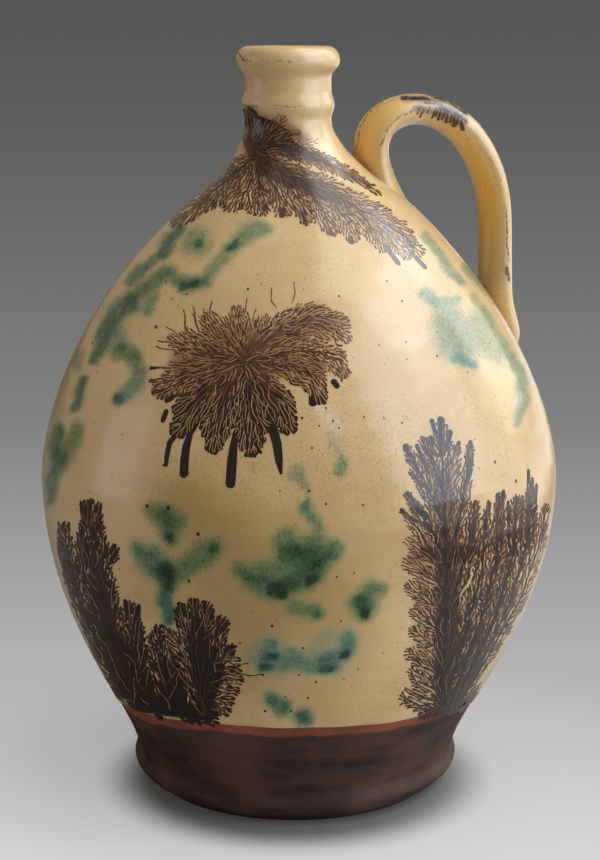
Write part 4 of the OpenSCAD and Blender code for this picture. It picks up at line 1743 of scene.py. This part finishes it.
# pits and specks in the glaze: pixel, and width in pixels; more are strewn at random
specks = {
    "seen": [
        (248, 289, 2.7), (261, 284, 1.4), (339, 296, 2.5), (187, 294, 1.7), (172, 299, 1.4), (156, 327, 2.7),
        (166, 282, 1.4), (326, 408, 2.0), (302, 418, 2.5), (333, 421, 2.0), (319, 426, 1.9), (339, 428, 1.9),
        (312, 448, 2.0), (364, 417, 1.7), (384, 418, 1.7), (402, 423, 1.9), (379, 345, 1.7), (280, 491, 1.6),
        (309, 491, 2.3), (363, 505, 1.9), (326, 504, 2.2), (147, 506, 2.7), (168, 508, 3.9), (198, 534, 3.3),
        (189, 581, 2.8), (240, 643, 1.9), (272, 626, 2.8), (263, 675, 2.7), (299, 675, 2.0), (316, 682, 2.3),
        (308, 698, 2.5), (285, 697, 1.7), (358, 669, 1.7), (265, 711, 2.7), (291, 711, 2.5), (337, 577, 1.9),
        (354, 573, 1.7), (341, 621, 1.7), (303, 648, 2.2), (344, 679, 1.4), (495, 462, 1.9), (516, 481, 2.0),
        (437, 356, 2.0), (406, 342, 1.7), (402, 301, 2.2), (387, 281, 1.9), (261, 432, 1.6),
    ],
    "strewn": 130,
    "box": [(70, 240), (530, 715)],
    "size": (0.5, 1.2),
    "long": 0.2,
    "ink": 0.55,
    "seed": 5,
}


def speckPaths(plan):
    draw = np.random.default_rng(plan["seed"])
    places = draw.uniform(*plan["box"], (plan["strewn"], 2))
    spots = plan["seen"] + [(x, y, draw.uniform(*plan["size"])) for x, y in places]
    paths = []
    for x, y, wide in spots:
        half = plan["long"] / 2 * wide
        paths.append((np.array([(x, y - half), (x, y + half)]), np.full(2, wide), np.full(2, plan["ink"])))
    return paths


layRibbons("glazeSpecks", pathsOnGlaze(speckPaths(specks), 0.0), layOnGlaze, normalsOnGlaze)
print("specks laid")

# rubbed edges, a painted shade in the crease at the handle's top root, and the dark tuft on the handle's
# arch: pixel points, half-widths and strength
rubbedBody = [
    ([(238, 53), (244, 60), (251, 61)], [1.5, 2, 1.5], 0.7),
    ([(276, 61), (290, 62), (304, 61)], [1, 1.4, 1], 0.6),
    ([(243, 104), (248, 107), (257, 106)], [1.2, 1.6, 1.2], 0.7),
    ([(274, 105), (290, 107), (303, 106)], [1, 1.3, 1], 0.6),
]
handleWearAndCreaseShade = [
    ([(381, 146), (386, 131), (397, 119), (412, 110), (420, 108)], [2, 2.4, 2.6, 2.2, 1.4], 0.5),
    ([(478, 146), (490, 160), (498, 172), (503, 186), (506, 205)], [1, 1, 1, 1.1, 1.1], 0.45),
    ([(506, 205), (507, 235), (508, 262)], [1.1, 1.3, 1.2], 0.65),
    ([(507.5, 268), (508.5, 280)], [2.4, 2.0], 0.85),
    ([(356, 150), (360, 128), (371, 110), (383, 101)], [1.2, 1.2, 1.2, 1], 0.6),
    # painted shade in the crease where the handle's top root meets the shoulder
    ([(357, 153), (366, 163), (377, 175), (385, 183)], [2, 3, 3, 2], 0.38),
]
tuftStain = [
    ([(402, 98), (416, 98), (428, 101)], [3, 4, 5], 0.66),
    ([(425, 101), (440, 105), (455, 113), (467, 122)], [6, 7, 6, 4], 0.6),
    ([(428, 94), (448, 99), (466, 114)], [4, 5, 4], 0.62),
]
tuftWash = [
    ([(415, 108), (438, 112), (462, 124)], [4, 6, 5], 0.8),
    ([(404, 98), (436, 101), (464, 118)], [4, 8, 6], 0.7),
]
handleMarks = {"wearAndCreaseShade": (handleWearAndCreaseShade, "wearAndCreaseShade"), "stain": (tuftStain, "tuft"), "wash": (tuftWash, "tuft")}
handleWarp = 0.8  # pixels
writeAttribute(slipBody.data, "wearAndCreaseShade", soakBody(rubbedBody, fades["wearAndCreaseShade"]))
strapPoints = readPoints(handleStrap.data)
strapNormals = np.empty(strapPoints.size)
handleStrap.data.vertices.foreach_get("normal", strapNormals)
strapFacing = ((eye - strapPoints) * strapNormals.reshape(-1, 3)).sum(axis=1) > 0
strapPixels = warped(toPixels(strapPoints), handleWarp)
for layer, (strokes, fade) in handleMarks.items():
    writeAttribute(handleStrap.data, layer, soakAt(strapPixels, strapFacing, strokes, fades[fade]))

# drops from the tuft on the handle's arch
tuft = {
    "name": "tuftDrops",
    "drips": [
        ([(424, 109), (420, 117)], [2, 2.5]),
        ([(421, 107), (417, 114)], [1.5, 1.5]),
        ([(430, 107), (427, 113)], [1.5, 1.5]),
        ([(436, 108), (432, 118)], [1.5, 2.5]),
        ([(439, 108), (435, 116)], [1.5, 2]),
        ([(441, 109), (438, 120)], [1.5, 3]),
        ([(446, 111), (442, 119)], [2, 3]),
        ([(448, 112), (446, 122)], [2, 3.5]),
        ([(452, 114), (450, 122)], [2, 3]),
        ([(454, 116), (454, 125.5)], [2, 5]),
        ([(458, 118), (457, 124)], [2, 2.5]),
        ([(461, 120), (462.5, 129)], [2, 5]),
    ],
    "ink": 0.3,
}
strapFaces = [face.vertices[:] for face in handleStrap.data.polygons]
handleTree = BVHTree.FromPolygons(strapPoints.tolist(), strapFaces)


def nearestOnHandle(points):
    found = [handleTree.find_nearest(point) for point in points.tolist()]
    return np.array([spot[0] for spot in found]), np.array([spot[1] for spot in found])


def normalsOnHandle(points):
    return nearestOnHandle(points)[1]


def layOnHandle(points, lift):
    places, outward = nearestOnHandle(points)
    return places + outward * np.broadcast_to(lift, len(points))[:, None]


def pathsOnHandle(paths):
    laid = []
    for pixels, widths, inks in paths:
        hits = [handleTree.ray_cast(eye.tolist(), ray)[0] for ray in pixelRays(pixels).tolist()]
        kept = np.array([hit is not None for hit in hits])
        if kept.sum() > 1:
            points = np.array([hit for hit in hits if hit is not None])
            laid.append((points, widths[kept] * lookOut["distance"] / lookOut["focalPixels"], inks[kept]))
    return laid


tuftPaths = [(spots, widths, tuft["ink"] * inks) for spots, widths, inks in dripPaths(tuft)]
layRibbons(tuft["name"], pathsOnHandle(tuftPaths), layOnHandle, normalsOnHandle)
print("handle marks laid")


# the floor darkens away from the lens: greys by steepness of sight, from the horizon down
stageLook = {
    "wide": 500.0,
    "edges": 64,
    "greys": [(0.0, 0.090), (0.09, 0.135), (0.21, 0.223), (0.365, 0.485), (0.453, 0.69), (0.6, 0.75)],
    "ambient": (0.275, 0.225, 0.16),
    "closest": 0.2,
    "rough": 0.9,
    "lit": 0.62,
    "litNear": 0.7,  # the share of grey near the foot, where the floor keeps its shadow
    "nearTo": 0.08,
    "farFrom": 0.22,
    "poolAhead": -0.010,  # the deep shade round the foot
    "poolFrom": 0.07,
    "poolTo": 0.1,
    "poolDeep": 0.06,
    "mirrored": 0.2,  # from here on, what the glaze mirrors, by metres to the right
    "mirroredNear": 0.26,
    "asideFrom": 0.06,
    "asideTo": 0.2,
    "asideEnds": 0.3,
    "asideGone": 0.4,
    "mirroredRight": 0.9,
    "rightFrom": 0.42,
    "rightTo": 0.75,
}


def alongValue(tree, place, heading):
    links = {0: place, 1: heading.tolist()}
    return addNode(tree, "ShaderNodeVectorMath", links, operation="DOT_PRODUCT").outputs["Value"]


def greyOf(level):
    return (level, level, level, 1)


def makeFloor(look):
    material, tree, shader = newMaterial("paleFloor")
    place = addNode(tree, "ShaderNodeTexCoord").outputs["Object"]
    path = addNode(tree, "ShaderNodeLightPath")
    # what the lens sees
    fromLens = mathValue(tree, "ADD", alongValue(tree, place, ahead), lookOut["distance"])
    fromLens = mathValue(tree, "MAXIMUM", fromLens, look["closest"])
    steep = mathValue(tree, "DIVIDE", lookOut["eyeHeight"], fromLens)
    greys = colourRamp(tree, steep, [(position, (grey, grey, grey)) for position, grey in look["greys"]])
    poolPlace = {0: place, 1: (ahead * look["poolAhead"]).tolist()}
    fromPool = addNode(tree, "ShaderNodeVectorMath", poolPlace, operation="DISTANCE").outputs["Value"]
    pool = rangeValue(tree, fromPool, look["poolFrom"], look["poolTo"], look["poolDeep"], 1.0)
    glow = addNode(tree, "ShaderNodeEmission", {"Color": greys, "Strength": pool})
    # what the glaze mirrors
    inGlaze = path.outputs["Is Glossy Ray"]
    litColour = mixColours(tree, inGlaze, greyOf(look["lit"]), greyOf(look["mirrored"]))
    setFinish(tree, shader, litColour, look["rough"])
    aside = alongValue(tree, place, rightward)
    nearRight = rangeValue(tree, aside, look["asideFrom"], look["asideTo"], 0.0, look["mirroredNear"])
    ending = rangeValue(tree, aside, look["asideEnds"], look["asideGone"], 1.0, 0.0)
    farRight = rangeValue(tree, aside, look["rightFrom"], look["rightTo"])
    shine = product(tree, farRight, look["mirroredRight"])
    shine = mathValue(tree, "ADD", product(tree, nearRight, ending), shine)
    tree.links.new(product(tree, shine, inGlaze), shader.inputs["Emission Strength"])
    shader.inputs["Emission Color"].default_value = greyOf(1)
    shader.inputs["Specular IOR Level"].default_value = 0.0
    away = addNode(tree, "ShaderNodeVectorMath", {0: place}, operation="LENGTH").outputs["Value"]
    share = rangeValue(tree, away, look["nearTo"], look["farFrom"], look["litNear"], 1.0)
    share = product(tree, share, path.outputs["Is Camera Ray"])
    mixed = addNode(tree, "ShaderNodeMixShader", {0: share, 1: shader.outputs[0], 2: glow.outputs[0]})
    tree.links.new(mixed.outputs[0], tree.nodes["Material Output"].inputs["Surface"])
    bm = bmesh.new()
    bmesh.ops.create_circle(bm, cap_ends=True, segments=look["edges"], radius=look["wide"])
    mesh = bpy.data.meshes.new("floor")
    bm.to_mesh(mesh)
    bm.free()
    mesh.materials.append(material)
    floor = bpy.data.objects.new("floor", mesh)
    bpy.context.scene.collection.objects.link(floor)


makeFloor(stageLook)

# lamps: bearing from the lens round the jug and height in degrees, metres away, size, watts, colour
lamps = {
    "windowRight": (66, 28, 1.8, (1.6, 2.0), 21.5, (0.93, 1.0, 1.1)),
    "windowShine": (80, 28, 1.8, (2.4, 2.0), 14.0, (0.62, 1.0, 1.5)),
    "windowHigh": (95, 60, 1.8, (1.4, 1.4), 17.0, (1.0, 0.98, 0.92)),
    "rimRight": (121, 30, 1.8, (0.8, 1.6), 8.0, (1.0, 1.0, 1.0)),
    "wallLeft": (-84, 4, 1.5, (0.62, 1.2), 1.7, (0.8, 1.0, 1.25)),
    "ceiling": (10, 80, 1.8, (1.6, 1.6), 3.0, (1.0, 1.0, 1.0)),
}
onlyMirrored = "windowShine"  # seen in the glaze but lights nothing
lampTarget = np.array([0, 0, 0.17])


def makeLamps():
    for name, (bearing, height, far, size, watts, tint) in lamps.items():
        angle = frontAngle + math.radians(bearing)
        tall = math.radians(height)
        level = math.cos(tall)
        toLamp = np.array([math.cos(angle) * level, math.sin(angle) * level, math.sin(tall)])
        lamp = bpy.data.lights.new(name, "AREA")
        lamp.shape = "RECTANGLE"
        lamp.size, lamp.size_y = size
        lamp.energy = watts
        lamp.color = tint
        holder = bpy.data.objects.new(name, lamp)
        holder.visible_diffuse = name != onlyMirrored
        bpy.context.scene.collection.objects.link(holder)
        holder.location = lampTarget + toLamp * far
        holder.rotation_euler = Vector(toLamp).to_track_quat("Z", "Y").to_euler()


makeLamps()


def makeWorld(look):
    world = bpy.data.worlds.new("studio")
    bpy.context.scene.world = world
    world.use_nodes = True
    tree = world.node_tree
    path = addNode(tree, "ShaderNodeLightPath")
    horizon = greyOf(look["greys"][0][1])
    shade = mixColours(tree, path.outputs["Is Camera Ray"], (*look["ambient"], 1), horizon)
    tree.links.new(shade, tree.nodes["Background"].inputs["Color"])


makeWorld(stageLook)
bpy.context.scene.view_settings.view_transform = "Standard"
print("stage and lamps set")
